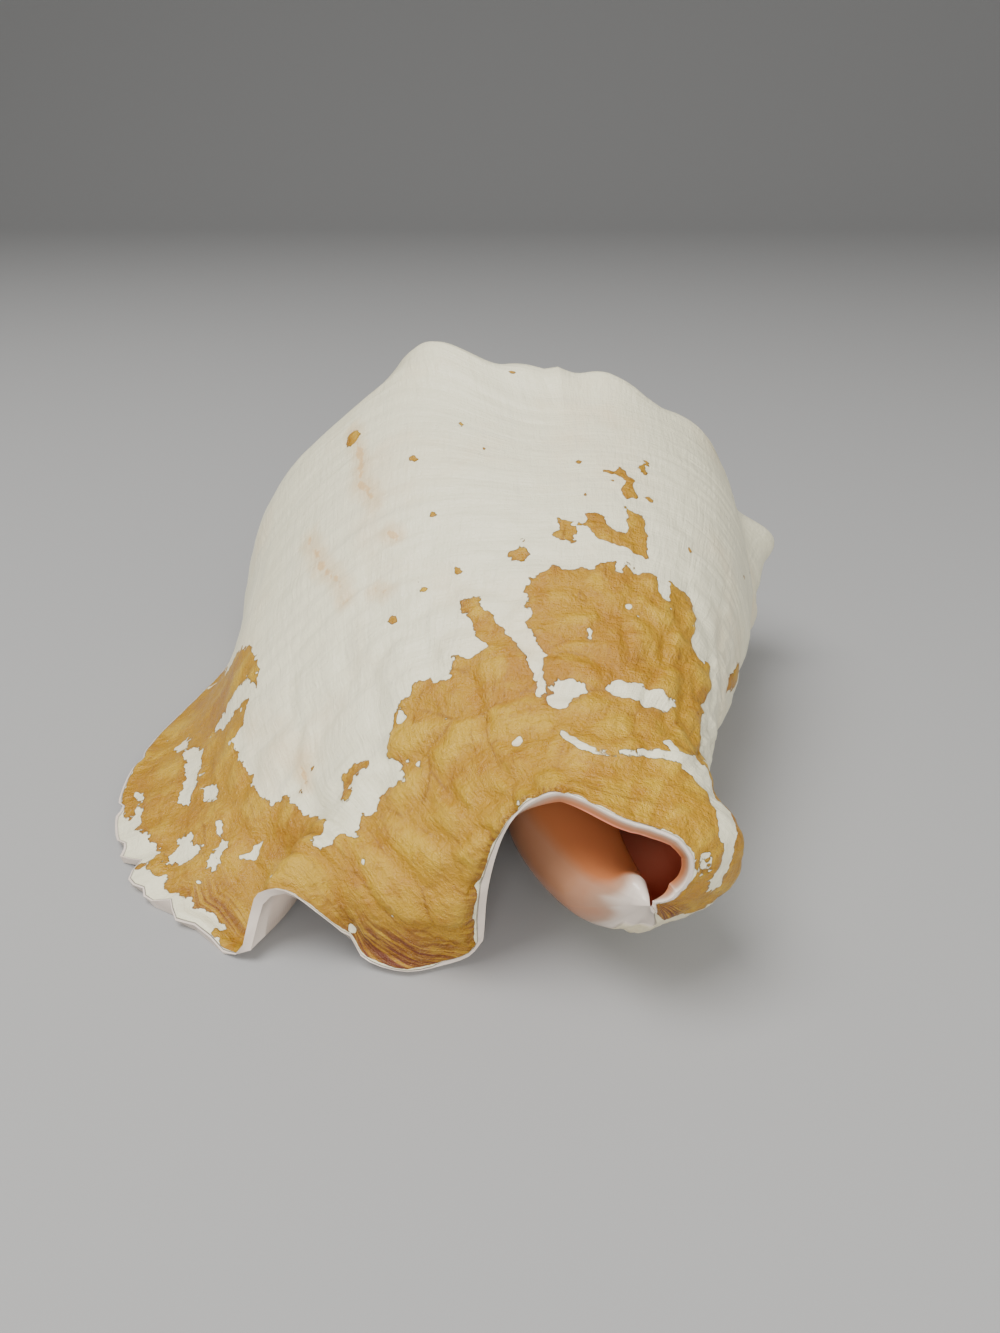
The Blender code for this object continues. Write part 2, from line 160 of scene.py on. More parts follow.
def place_in_scene(name: str, data: bpy.types.ID) -> bpy.types.Object:
    """Makes an object of a mesh, a light or a camera and links it to the scene.

    Args:
        name: Name of the object.
        data: What it shows.

    Returns:
        The object, at the origin.
    """
    item = bpy.data.objects.new(name, data)
    bpy.context.scene.collection.objects.link(item)
    return item


class Side(Enum):
    """Which skin of the shell a point is on."""

    OUT = "out"
    IN = "in"


@dataclass(frozen=True)
class Coil:
    """Axis of the coil and the section that winds around it."""

    axis_front: tuple = (25.0, -80.0, 20.5)
    axis_tip: tuple = (27.0, 149.0, 56.0)
    length: float = 232.0
    bend_length: float = 18.0
    bend_right: float = 3.6
    bend_up: float = 11.0
    growth_per_turn: float = 1.55
    top_angle: float = 90.0
    turns: int = 6
    lip_angle: float = 215.0
    flare_angle: float = 100.0
    front_tip_angle: float = -85.0
    seam: tuple = (56.0, 32.5)
    corner: tuple = (77.0, 54.0)
    shoulder: tuple = (88.0, 52.5)
    canal: float = 8.0
    canal_opening: float = 185.0
    front_angles: tuple = (-720.0, -200.0, -85.0, -20.0, 10.0, 31.0, 47.0, 66.0, 82.0, 96.0, 111.0, 123.0)
    front_radii: tuple = (2.6, 2.6, 3.0, 3.2, 5.2, 9.0, 12.0, 14.6, 15.7, 17.2, 20.3, 23.9)
    widest_front: float = 0.6
    seam_row: float = 0.24
    roundness: float = 1.8
    fullness: float = 1.05
    fuller_right: tuple = (0.35, 5.0, 60.0)
    thinner_below: tuple = (0.3, -150.0, 60.0)
    fuller_core: float = 1.6
    core_angles: tuple = (-190.0, -110.0)
    rope_height: float = 12.5
    rope_start: float = 7.0
    rope_fade: float = 32.0
    rope_crest: tuple = (9.0, 17.0, 8.5)
    rope_crest_angles: tuple = (1.0, -5.0, 60.0)
    rope_first_angles: tuple = (-230.0, 150.0)
    rope_last_angles: tuple = (15.0, 75.0)
    rope_loss: float = 0.85
    collar_ridge: float = 1.5
    collar_row: float = 0.885
    collar_width: float = 0.017
    collar_wander: tuple = (0.02, 98.0, 14.0)
    collar_angles: tuple = (1.0, 72.0, 48.0)
    scroll_height: float = 16.0
    scroll_groove: tuple = (3.6, -32.0, 22.0)
    scroll_fold: tuple = (2.4, -75.0, 20.0)
    least_radius: float = 1.2
    closing_angle: float = 55.0
    closing_rows: tuple = (0.93, 0.07)
    core_lean: tuple = (4.2, 36.0, 22.0)
    core_lean_angles: tuple = (-35.0, -45.0)
    tip_knob: tuple = (3.6, 5.0, 4.5)
    tip_knob_angles: tuple = (1.0, -245.0, 50.0)

    def axes(self) -> tuple:
        """Unit vectors to the right, along the axis and upwards."""
        along = unit(np.subtract(self.axis_tip, self.axis_front))
        right = np.array([1.0, 0.0, 0.0])
        right = unit(right - along * (along @ right))
        return right, along, np.cross(right, along)

    def scale(self, angle: Array) -> Array:
        """Size of the coil, 1 on top of the last turn.

        Args:
            angle: Growth angles.

        Returns:
            Sizes, which fall to 0 at the start of the coil.
        """
        size = self.growth_per_turn ** ((angle - self.top_angle) / TURN)
        first = self.lip_angle - TURN * self.turns
        return size * np.clip((angle - first) / TURN, 0, 1)

    def place(self, height: Array, angle: Array, radius: Array) -> Array:
        """Point of the coil.

        Args:
            height: Height along the axis.
            angle: Angle about the axis in degrees.
            radius: Distance from the axis.

        Returns:
            Points in millimetres.
        """
        right, along, upward = self.axes()
        turn = np.radians(angle)
        bend = np.exp(-np.maximum(height, 0) / self.bend_length)
        side = radius * np.cos(turn) + self.bend_right * bend
        rise = radius * np.sin(turn) + self.bend_up * bend
        return (np.array(self.axis_front) + height[..., None] * along
                + side[..., None] * right + rise[..., None] * upward)

    def canal_height(self, angle: Array) -> Array:
        """Height of the front end above the tip of the core."""
        return self.canal * ease((angle - self.front_tip_angle) / self.canal_opening)

    def crown(self, size: Array, row: Array) -> tuple:
        """Height and radius from the seam over the corner to the shoulder.

        Args:
            size: Size of the coil.
            row: Rows from 0 at the seam.

        Returns:
            Heights and radii in millimetres.
        """
        k = np.clip(row / self.seam_row, 0, 1)
        b0, b1, b2 = (1 - k) ** 2, 2 * k * (1 - k), k * k
        back, out = [b0 * self.seam[i] + b1 * self.corner[i] + b2 * self.shoulder[i] for i in (0, 1)]
        return self.length - size * back, size * out

    def rope(self, angle: Array, body: Array, end: Array) -> Array:
        """How far the ridge that winds around the front end stands out.

        Args:
            angle: Growth angles.
            body: Heights along the axis.
            end: Height of the front end.

        Returns:
            Heights in millimetres.
        """
        start = 1 - np.exp(-np.maximum(body - end, 0) / self.rope_start)
        rope = self.rope_height * start * np.exp(-body / self.rope_fade)
        rope = rope + hill(body, *self.rope_crest) * hill(angle, *self.rope_crest_angles)
        fade = 1 - self.rope_loss * slope(angle, *self.rope_last_angles)
        return rope * slope(angle, *self.rope_first_angles) * fade

    def front_end(self, angle: Array, body: Array, down: Array, radius: Array) -> Array:
        """Radius with the scroll, the closed tip and the core's knob.

        Args:
            angle: Growth angles.
            body: Heights along the axis.
            down: Share of the way from the shoulder to the front end.
            radius: Radii so far.

        Returns:
            Radii in millimetres.
        """
        by_tip = 1 - ease(body / self.scroll_height)
        radius = radius - by_tip * hill(angle, *self.scroll_groove)
        radius = np.maximum(radius + by_tip * hill(angle, *self.scroll_fold), self.least_radius)
        shut = 1 - ease((angle - self.front_tip_angle) / self.closing_angle)
        radius = radius * np.sqrt(np.clip(1 - shut * slope(down, *self.closing_rows), 0, 1))
        knob = hill(body, *self.tip_knob) * hill(angle, *self.tip_knob_angles)
        return radius + knob * np.sqrt(np.clip(body / self.tip_knob[1], 0, 1))

    def section(self, angle: Array, row: Array) -> tuple:
        """Height and radius of the coiled outside.

        Args:
            angle: Growth angles.
            row: Rows from 0 at the seam to 1 at the front end.

        Returns:
            Heights and radii in millimetres.
        """
        size = self.scale(angle)
        high, wide = self.crown(size, row)
        down = np.clip((row - self.seam_row) / (1 - self.seam_row), 0, 1)
        top, top_radius = self.length - size * self.shoulder[0], size * self.shoulder[1]
        end = self.canal_height(angle)
        end_radius = np.interp(angle, self.front_angles, self.front_radii)
        end_radius = np.minimum(end_radius, top_radius * self.widest_front)
        power = self.fullness + hill(angle, *self.fuller_right) - hill(angle, *self.thinner_below)
        power = power + self.fuller_core * slope(angle, *self.core_angles)
        body = top + (end - top) * down
        radius = end_radius + (top_radius - end_radius) * (1 - down**self.roundness) ** power
        radius = radius + self.rope(angle, body, end)
        collar = self.collar_row + hill(angle, *self.collar_wander)
        ridge = bump((row - collar) / self.collar_width) * hill(angle, *self.collar_angles)
        radius = self.front_end(angle, body, down, radius + self.collar_ridge * ridge)
        upper = row <= self.seam_row
        return np.where(upper, high, body), np.where(upper, wide, radius)


@dataclass(frozen=True)
class Knobs:
    """Blunt knobs and the swellings below the largest: growth angle, height, width in degrees, row."""

    last_turn: tuple = (
        (-170, 7.0, 11.0, 0.170), (-135, 8.0, 11.0, 0.170), (-100, 8.0, 10.0, 0.170),
        (-66, 9.0, 11.0, 0.170), (-36, 10.0, 11.0, 0.170), (-19, 12.5, 13.0, 0.330),
        (-10, 12.0, 13.0, 0.255), (-4, 17.0, 12.0, 0.180), (52, 2.0, 12.0, 0.170),
        (-12, 5.5, 24.0, 0.400), (-8, 4.5, 26.0, 0.500), (-6, 3.0, 26.0, 0.600),
        (88, 6.0, 14.0, 0.180), (106, 10.0, 12.0, 0.190), (124, 14.5, 16.0, 0.205),
        (168, 2.5, 12.0, 0.220),
    )
    row_width: float = 0.055
    row_width_per_mm: float = 0.002
    spire_step: float = 40.0
    spire_first: float = 10.0
    spire_width: float = 10.0
    spire_height: float = 7.5
    spire_rows: tuple = (1.0, 0.17, 0.06)
    spire_end: float = -188.0

    def height(self, coil: Coil, angle: Array, row: Array) -> Array:
        """How far the knobs stand out of the shoulder.

        Args:
            coil: The coil that they stand on.
            angle: Growth angles.
            row: Rows.

        Returns:
            Heights in millimetres.
        """
        total = np.zeros(np.broadcast(angle, row).shape)
        for at, height, width, knob_row in self.last_turn:
            high = self.row_width + self.row_width_per_mm * height
            one = hill(angle, height, at, width) * hill(row, 1.0, knob_row, high)
            total = (total**3 + one**3) ** (1 / 3)
        step = np.mod(angle - self.spire_first, self.spire_step) - self.spire_step / 2
        early = self.spire_height * coil.scale(angle) * bump(step / self.spire_width)
        early = early * hill(row, *self.spire_rows)
        return np.where(angle < self.spire_end, early, total)


@dataclass(frozen=True)
class Flare:
    """Flared lip: for each row three stations, the rim and the heading at the rim."""

    lines: tuple = (
        (0.00, (-8, 84, 66), (-15, 90, 45), (-12, 89, 34), (-6, 87, 24), (-0.5, 0.7, -0.5)),
        (0.12, (-15, 82, 78), (-40, 106, 46), (-44, 114, 34), (-46, 122, 24), (-0.4, 0.8, -0.3)),
        (0.24, (-28, 74, 94), (-70, 88, 54), (-80, 101, 29), (-87, 118, 9), (-0.6, 0.7, -0.4)),
        (0.42, (-29, 38, 86), (-71, 47, 46), (-82, 54, 20), (-91, 63, 4), (-1.0, 0.3, -0.4)),
        (0.53, (-27, 10, 73), (-69, 13, 34), (-82, 16, 14), (-101, 18, 4), (-1.0, 0.0, -0.05)),
        (0.61, (-25, -3, 66), (-65, -5, 29), (-79, -4, 12.5), (-102, -4, 3.5), (-1.0, -0.1, -0.2)),
        (0.68, (-22, -16, 60), (-59, -18, 26), (-74, -20, 12), (-97, -24, 2.6), (-1.0, -0.3, -0.2)),
        (0.74, (-19, -27, 56), (-52, -30, 24), (-65, -36, 11), (-86, -43, 2), (-0.9, -0.5, -0.2)),
        (0.775, (-17, -32, 54), (-48, -36, 22), (-58, -43, 9), (-73, -54, 2), (-0.6, -0.6, -0.15)),
        (0.80, (-14, -37, 52.5), (-43, -42, 22.5), (-50, -51, 6), (-57.5, -63.5, 1.6),
         (-0.5, -0.75, -0.1)),
        (0.818, (-12, -40.5, 51.5), (-40, -44.5, 25.5), (-47.5, -52.5, 15), (-54.5, -60.5, 9.5),
         (-0.45, -0.8, -0.2)),
        (0.838, (-10, -44.5, 50.5), (-36.5, -47, 28), (-44.5, -53.5, 23), (-51.5, -61.5, 17),
         (-0.45, -0.8, -0.3)),
        (0.858, (-7.5, -48, 49.5), (-32.5, -50, 29), (-40, -55, 25), (-45.5, -62.5, 18.5),
         (-0.4, -0.75, -0.5)),
        (0.88, (-4.5, -52, 48.5), (-27.5, -54, 29.5), (-35, -58.5, 23.5), (-38.5, -64, 13.5),
         (-0.35, -0.5, -0.8)),
        (0.90, (-1.5, -56, 48), (-22, -58.5, 29), (-30, -62.5, 20.5), (-33, -64.8, 8),
         (-0.3, -0.5, -0.8)),
        (0.92, (1.5, -60, 48), (-16.5, -62.5, 29.5), (-25, -65.5, 18), (-28.8, -66.5, 2.8),
         (-0.3, -0.55, -0.8)),
        (0.94, (5, -63.5, 48), (-11, -66, 30.5), (-18.5, -68, 16), (-20.5, -68.6, 1.5),
         (-0.15, -0.6, -0.8)),
        (0.962, (7.5, -67, 48.5), (-5.5, -68, 32.5), (-12, -69, 16.5), (-12, -66.6, 1.5),
         (0.0, -0.5, -0.85)),
        (0.98, (9, -69, 49), (-2.5, -68.5, 34.5), (-7, -68.5, 19), (-6.8, -65.5, 2.8),
         (0.0, -0.2, -1.0)),
        (1.00, (10.5, -71, 49.5), (0.5, -68.5, 37), (-2.4, -67, 23), (-3.6, -64.5, 6.5),
         (-0.1, 0.15, -1.0)),
    )
    stations: tuple = (0.0, 1 / 3, 2 / 3, 5 / 6, 1.0)
    chips: tuple = (
        (0.555, 0.008, 0.008), (0.640, 0.012, 0.006), (0.692, 0.014, 0.006), (0.715, 0.030, 0.007),
        (0.741, 0.010, 0.005), (0.762, 0.028, 0.006), (0.783, 0.020, 0.005), (0.905, 0.012, 0.005),
    )
    chip_reach: int = 8
    back_step: float = 0.5

    def start(self, coil: Coil, row: Array) -> tuple:
        """Point and direction of growth where the flare begins.

        Args:
            coil: The coil that the flare grows from.
            row: Rows.

        Returns:
            The points in millimetres and the unit vectors.
        """
        here = np.full_like(row, coil.flare_angle)
        height, radius = coil.section(here, row)
        point = coil.place(height, here, radius)
        before = here - self.back_step
        height, radius = coil.section(before, row)
        return point, unit(point - coil.place(height, before, radius))

    def strand(self, coil: Coil, share: Array, row: Array) -> Array:
        """Point of the flare, before its upper edge is held.

        Args:
            coil: The coil that the flare grows from.
            share: 0 where the flare starts and 1 at the rim.
            row: Rows.

        Returns:
            Points in millimetres.
        """
        rows = [line[0] for line in self.lines]
        later = [curve(rows, [line[k] for line in self.lines], row) for k in (1, 2, 3, 4)]
        heading = unit(curve(rows, [line[5] for line in self.lines], row))
        start, ahead = self.start(coil, row)
        points = np.stack([start] + later)
        at = np.array(self.stations)
        slopes = np.zeros_like(points)
        first = np.linalg.norm(points[1] - points[0], axis=-1, keepdims=True)
        final = np.linalg.norm(points[-1] - points[-2], axis=-1, keepdims=True)
        slopes[0] = ahead * first / (at[1] - at[0])
        slopes[-1] = heading * final / (at[-1] - at[-2])
        for k in range(1, len(at) - 1):
            a, b = at[k] - at[k - 1], at[k + 1] - at[k]
            before = (points[k] - points[k - 1]) / a
            after = (points[k + 1] - points[k]) / b
            slopes[k] = (before * b + after * a) / (a + b)
        share = np.clip(share, 0, 1)
        i = np.clip(np.searchsorted(at, share, side="right") - 1, 0, len(at) - 2)
        width = (at[i + 1] - at[i])[:, None]
        x = (share - at[i])[:, None] / width
        n = np.arange(len(row))
        return hermite(points[i, n], points[i + 1, n], slopes[i, n] * width, slopes[i + 1, n] * width, x)

    def point(self, coil: Coil, share: Array, row: Array) -> Array:
        """Point of the flare, with its upper edge held on the turn before.

        Args:
            coil: The coil that the flare grows from.
            share: 0 where the flare starts and 1 at the rim.
            row: Rows.

        Returns:
            Points in millimetres.
        """
        angle = coil.flare_angle + share * (coil.lip_angle - coil.flare_angle)
        height, radius = coil.section(angle - TURN, np.full_like(row, coil.seam_row))
        gap = coil.place(height, angle, radius) - self.strand(coil, share, np.zeros_like(row))
        chipped = sum(hill(row, depth, at, width) for at, depth, width in self.chips)
        held = gap * (1 - ease(row / coil.seam_row))[:, None]
        return self.strand(coil, share - share**self.chip_reach * chipped, row) + held


@dataclass(frozen=True)
class ShellForm:
    """Outside and hollow of the shell."""

    coil: Coil = Coil()
    knobs: Knobs = Knobs()
    flare: Flare = Flare()
    knob_back: float = 0.25
    flare_knob_lift: tuple = (-0.5, 0.2, 0.85)
    body_wall: float = 4.6
    lip_wall: float = 2.3
    lip_taper: float = 38.0
    canal_taper: float = 0.16
    hollow_row: float = 0.275
    hollow_begin_row: float = 0.10
    hollow_depth_angle: float = 100.0
    hollow_deep_row: float = 0.72
    wall_rows: tuple = (0.02, 0.985)
    tip_rows: tuple = (0.85, 0.15)
    tip_angle: float = 30.0
    open_room: float = 40.0
    least_room: float = 0.8
    wall_of_room: float = 0.45
    normal_row_step: float = 0.003
    normal_angle_step: float = 0.4

    def outside(self, angle: Array, row: Array) -> Array:
        """Points of the outside.

        Args:
            angle: Growth angles.
            row: Rows.

        Returns:
            Points in millimetres.
        """
        coil = self.coil
        angle, row = np.broadcast_arrays(np.asarray(angle, float), np.asarray(row, float))
        coiled = np.minimum(angle, coil.flare_angle)
        height, radius = coil.section(coiled, row)
        knob = self.knobs.height(coil, angle, row)
        on_coil = np.where(angle <= coil.flare_angle, knob, 0)
        points = coil.place(height + self.knob_back * on_coil, coiled, radius + on_coil)
        lean = slope(angle, *coil.core_lean_angles) * hill(height, *coil.core_lean)
        points = points - lean[..., None] * coil.axes()[0]
        flared = angle > coil.flare_angle
        if flared.any():
            share = (angle[flared] - coil.flare_angle) / (coil.lip_angle - coil.flare_angle)
            points[flared] = self.flare.point(coil, share, row[flared])
            points[flared] += knob[flared][:, None] * np.array(self.flare_knob_lift)
        return points

    def deep_row(self, angle: Array, row: Array) -> Array:
        """Row value where the hollow's deep part ends short of the front tip.

        Args:
            angle: Growth angles.
            row: Rows.

        Returns:
            Rows, drawn back from the front end deep inside.
        """
        depth = ease((self.coil.front_tip_angle - angle) / self.hollow_depth_angle)
        end = 1.0 - (1.0 - self.hollow_deep_row) * depth
        low = self.hollow_row
        return np.where(row > low, low + (row - low) * (end - low) / (1 - low), row)

    def outward(self, angle: Array, row: Array) -> Array:
        """Directions that point out of the outside.

        Args:
            angle: Growth angles.
            row: Rows.

        Returns:
            Unit vectors.
        """
        low, high = [np.clip(row + step, 0, 1) for step in (-self.normal_row_step, self.normal_row_step)]
        ahead = np.minimum(angle + self.normal_angle_step, self.coil.lip_angle)
        along = self.outside(ahead, row) - self.outside(angle - self.normal_angle_step, row)
        across = self.outside(angle, high) - self.outside(angle, low)
        return unit(np.cross(along, across))

    def wall(self, angle: Array, row: Array) -> Array:
        """Wall thickness, thin at the rim of the lip and of the canal.

        Args:
            angle: Growth angles.
            row: Rows.

        Returns:
            Thicknesses in millimetres.
        """
        by_lip = ease((self.coil.lip_angle - angle) / self.lip_taper)
        by_canal = ease((1 - row) / self.canal_taper)
        return self.lip_wall + (self.body_wall - self.lip_wall) * by_lip * by_canal

    def room(self, angle: Array, row: Array) -> Array:
        """Distance from the outside to the turn before.

        Args:
            angle: Growth angles.
            row: Rows.

        Returns:
            Distances in millimetres.
        """
        coil = self.coil
        height, radius = coil.section(np.minimum(angle, coil.flare_angle), row)
        size = coil.scale(angle - TURN)
        top = coil.length - size * coil.shoulder[0]
        end = coil.canal_height(angle - TURN)
        down = np.clip((top - height) / (top - end), 0, 1)
        core = coil.section(angle - TURN, coil.seam_row + down * (1 - coil.seam_row))[1]
        return np.where(angle > coil.flare_angle, self.open_room, np.maximum(radius - core, self.least_room))

    def inside(self, angle: Array, row: Array) -> Array:
        """Points of the hollow's outer wall.

        Args:
            angle: Growth angles.
            row: Rows.

        Returns:
            Points in millimetres.
        """
        coil = self.coil
        at = np.where(angle < coil.front_tip_angle, self.deep_row(angle, row), row)
        thick = np.minimum(self.wall(angle, row), self.wall_of_room * self.room(angle, at))
        inward = -self.outward(angle, np.clip(at, *self.wall_rows))
        points = self.outside(angle, at) + inward * thick[..., None]
        begin = self.hollow_begin_row
        early = np.full_like(row, begin)
        first = self.outside(angle - TURN, np.full_like(row, self.hollow_row))
        next_one = self.outside(angle, early) - self.outward(angle, early) * self.wall(angle, row)[..., None]
        mix = np.clip(row / begin, 0, 1)[..., None]
        points = np.where(row[..., None] < begin, first * (1 - mix) + next_one * mix, points)
        tip = self.outside(angle - TURN, self.deep_row(angle, np.ones_like(row)))
        near = slope(row, *self.tip_rows) * (1 - ease((angle - coil.front_tip_angle) / self.tip_angle))
        return points * (1 - near[..., None]) + tip * near[..., None]


@dataclass(frozen=True)
class SkinPatches:
    """Outlines of the ochre outer skin that is left on the shell.

    Each outline is a run of growth angles in degrees and rows in hundredths.
    """

    angle_mm: float = 0.9
    row_mm: float = 1.65
    front: tuple = (
        (236, 40), (212, 42), (200, 45), (190, 48.5), (179, 50.5), (175, 52), (173, 54),
        (172, 56), (173, 59), (174, 57), (178, 56),
        (192, 56.5), (188, 59), (182, 59), (176, 59), (178, 62), (183, 63), (183, 69), (182, 70.5),
        (184, 71), (182, 74), (182, 75.5), (177, 76), (176, 80.5), (184, 84), (182, 84.5), (196, 86),
        (196, 87), (186, 87), (184, 88), (166, 86), (160, 87), (157, 86), (154, 85), (157, 83.5),
        (150, 80), (144, 79), (142, 78), (138, 78), (136, 79), (134, 79), (129, 76.5), (127, 77),
        (122, 76), (124, 74), (124, 70), (126, 70), (126, 68), (122, 68), (116, 76), (114, 80),
        (115, 83), (113, 82.5), (111, 78), (110, 77), (112, 74), (112, 67), (106, 63.5), (103, 64),
        (96, 64), (94, 63), (89, 62.5), (89, 64), (87, 64), (86, 62.5), (82, 62.5), (82, 64),
        (75, 63.5), (72, 67), (69, 68), (68, 66), (70, 63.5), (65, 63.5), (60, 64), (56, 66),
        (58, 68.5), (55, 73), (46, 72), (43, 74.5), (47, 79), (50, 82), (41, 85.5), (31, 88), (20, 91),
        (6, 92), (-10, 93), (-26, 93.5), (-38, 94.5), (-56, 97), (-60, 104), (236, 104),
    )
    gaps: tuple = (
        ((112, 82.5), (110, 81.5), (104, 81.5), (103, 82.5), (110, 85), (113, 85), (114, 84)),
        ((98, 82), (94, 81), (82, 80.5), (78, 81), (66, 81.5), (70, 83), (92, 83)),
        ((102, 72.5), (99, 73), (98, 74), (100, 75)),
        ((203, 57.5), (200, 57), (196, 59), (196, 61.5), (198, 66), (200, 67), (202, 66), (200, 60)),
        ((206, 55.5), (204, 54), (202, 55), (202, 56.5), (205, 56)),
        ((196, 66), (194, 66), (192, 67.5), (194, 69), (196, 68)),
        ((206, 71), (203, 71), (202, 73), (200, 73), (202, 73.5), (206, 74), (207, 73)),
        ((196, 72), (195, 72), (195, 74), (196, 75), (205, 75.5), (198, 74)),
        ((212, 62), (210, 62.5), (210, 68), (208, 73), (211, 68)),
        ((217, 65), (213, 65.5), (210, 69), (210, 71.5), (212, 72.5), (217, 72)),
        ((217, 72), (213, 72), (210, 74), (211, 75.5), (213, 76), (217, 76)),
        ((217, 76), (213, 75.5), (210, 77), (210, 78.5), (213, 78.5), (217, 79)),
        ((60, 88.6), (56, 88), (44, 87.4), (37, 88.6), (34, 91), (28, 94.3), (16, 95.8), (2, 96), (-8, 95.6),
         (-8, 97), (14, 96.9), (27, 96.8), (36, 96.3), (44, 94.5), (48, 92.3), (56, 91), (63, 90.2)),
        ((42, 99.3), (36, 97.9), (28, 97.7), (18, 98), (18, 98.8), (32, 99.2)),
    )
    ridge: tuple = (
        (113, 88.9, 0.7), (112, 89.6, 1.0), (110, 90.8, 0.7), (105, 91.3, 0.45), (99, 91.4, 0.4),
        (91, 90.9, 0.45), (84, 90.3, 0.6), (78, 90.0, 0.7), (70, 89.8, 0.8), (60, 89.4, 1.4), (52, 89.6, 2.0),
    )
    dots: tuple = (
        (141, 67, 0.8), (125, 63.5, 0.9), (129, 53, 0.7), (133, 45, 0.8), (122, 38, 0.9), (117, 42, 0.6),
        (119, 44, 0.6), (108, 23, 0.8), (103, 22, 0.6), (133, 65, 0.6), (61, 56, 0.8), (68, 57, 1.0),
        (76, 49.5, 0.9), (148, 37, 1.7), (134, 64, 0.5), (88, 47, 0.7), (96, 50, 0.5), (22, 46, 0.9),
    )
    creases: tuple = (
        ((148, 35), (147, 38), (146, 41), (146, 45), (144, 46.5), (142, 48.5)),
        ((158, 47), (156, 49), (154, 52), (152, 54), (150, 56.5), (150, 60)),
        ((143, 61.5), (141, 63)), ((139, 53.5), (137, 55)), ((170, 74), (172, 77)),
    )
    islands: tuple = (
        ((103, 55), (100, 55.5), (98, 56), (100, 57), (100, 58.5), (99, 59), (102, 59), (104, 58)),
        ((94, 53.5), (92, 53.5), (88, 57), (85, 57), (84, 54.5), (85, 53), (85, 52), (84, 51.5), (82, 53),
         (78, 54), (78, 60.5), (80, 61), (91, 59), (94, 58.5), (97, 56), (97, 54)),
        ((90, 45), (85, 44), (83, 44.5), (82, 45.5), (80, 45.5), (81, 48), (79, 50), (84, 51), (85, 49.5),
         (84, 48), (84, 46.5), (86, 45.5)),
        ((80, 43), (76, 41), (76, 44), (78, 44)),
        ((98, 42), (96, 42), (96, 43.5), (99, 43)),
        ((113, 62.5), (114, 61.5), (112, 60), (111, 59), (110, 60), (110, 61.5), (112, 62.5)),
        ((166, 80.5), (160, 81), (160, 82), (176, 85), (172, 83.5)),
        ((169, 76), (168, 76), (174, 77)),
        ((12, 60), (4, 58.5), (3, 62), (14, 67), (20, 67), (14, 63.5)),
        ((-22, 42), (-14, 40), (-12, 46), (-16, 50), (-24, 49), (-27, 45)),
        ((-46, 60), (-38, 56), (-30, 62), (-34, 70), (-42, 68)),
    )
    ridge_angle_mm: float = 0.5
    dot_steepness: float = 1.6
    far: float = 9.0

    def in_mm(self, corners: tuple, angle_mm: float) -> Array:
        """Corners of an outline or a line in millimetres."""
        return np.array(corners, float)[:, :2] * (angle_mm, self.row_mm)

    def outline_distance(self, outline: tuple, x: Array, y: Array) -> Array:
        """Signed distance to an outline, positive inside it.

        Args:
            outline: Corners in degrees and hundredths of the row.
            x: Places along the growth in millimetres.
            y: Places across it in millimetres.

        Returns:
            Distances in millimetres.
        """
        corners = self.in_mm(outline, self.angle_mm)
        nearest = np.full(x.shape, np.inf)
        within = np.zeros(x.shape, bool)
        for start, end in zip(corners, np.roll(corners, -1, axis=0)):
            nearest = np.minimum(nearest, from_segment(x, y, start, end)[0])
            dx, dy = end - start
            if dy != 0:
                crossing = (start[1] > y) != (end[1] > y)
                within ^= crossing & (x < start[0] + (y - start[1]) / dy * dx)
        return np.where(within, nearest, -nearest)

    def crease_distance(self, angle: Array, row: Array) -> Array:
        """Distance to the nearest peach crease on the bare shell.

        Args:
            angle: Growth angles.
            row: Rows.

        Returns:
            Distances in millimetres.
        """
        x, y = angle * self.angle_mm, row * 100 * self.row_mm
        nearest = np.full(x.shape, self.far)
        for line in self.creases:
            corners = self.in_mm(line, self.angle_mm)
            for start, end in zip(corners[:-1], corners[1:]):
                nearest = np.minimum(nearest, from_segment(x, y, start, end)[0])
        return nearest

    def ridge_distance(self, angle: Array, row: Array) -> Array:
        """Distance to the bare line on the ridge behind the canal, negative on it.

        Args:
            angle: Growth angles.
            row: Rows.

        Returns:
            Distances in millimetres.
        """
        x, y = angle * self.ridge_angle_mm, row * 100 * self.row_mm
        nearest = np.full(x.shape, self.far)
        corners = self.in_mm(self.ridge, self.ridge_angle_mm)
        halves = [corner[2] for corner in self.ridge]
        for start, end, half, next_half in zip(corners[:-1], corners[1:], halves[:-1], halves[1:]):
            reach, share = from_segment(x, y, start, end)
            nearest = np.minimum(nearest, reach - half - share * (next_half - half))
        return nearest

    def distance(self, angle: Array, row: Array) -> Array:
        """Signed distance to the skin, positive on it.

        Args:
            angle: Growth angles.
            row: Rows.

        Returns:
            Distances in millimetres.
        """
        x, y = angle * self.angle_mm, row * 100 * self.row_mm
        skin = self.outline_distance(self.front, x, y)
        for gap in self.gaps:
            skin = np.minimum(skin, -self.outline_distance(gap, x, y))
        for island in self.islands:
            skin = np.maximum(skin, self.outline_distance(island, x, y))
        for at, where, size in self.dots:
            reach = np.hypot(x - at * self.angle_mm, y - where * self.row_mm)
            skin = np.maximum(skin, self.dot_steepness * (size - reach))
        return np.clip(skin, -self.far, self.far)


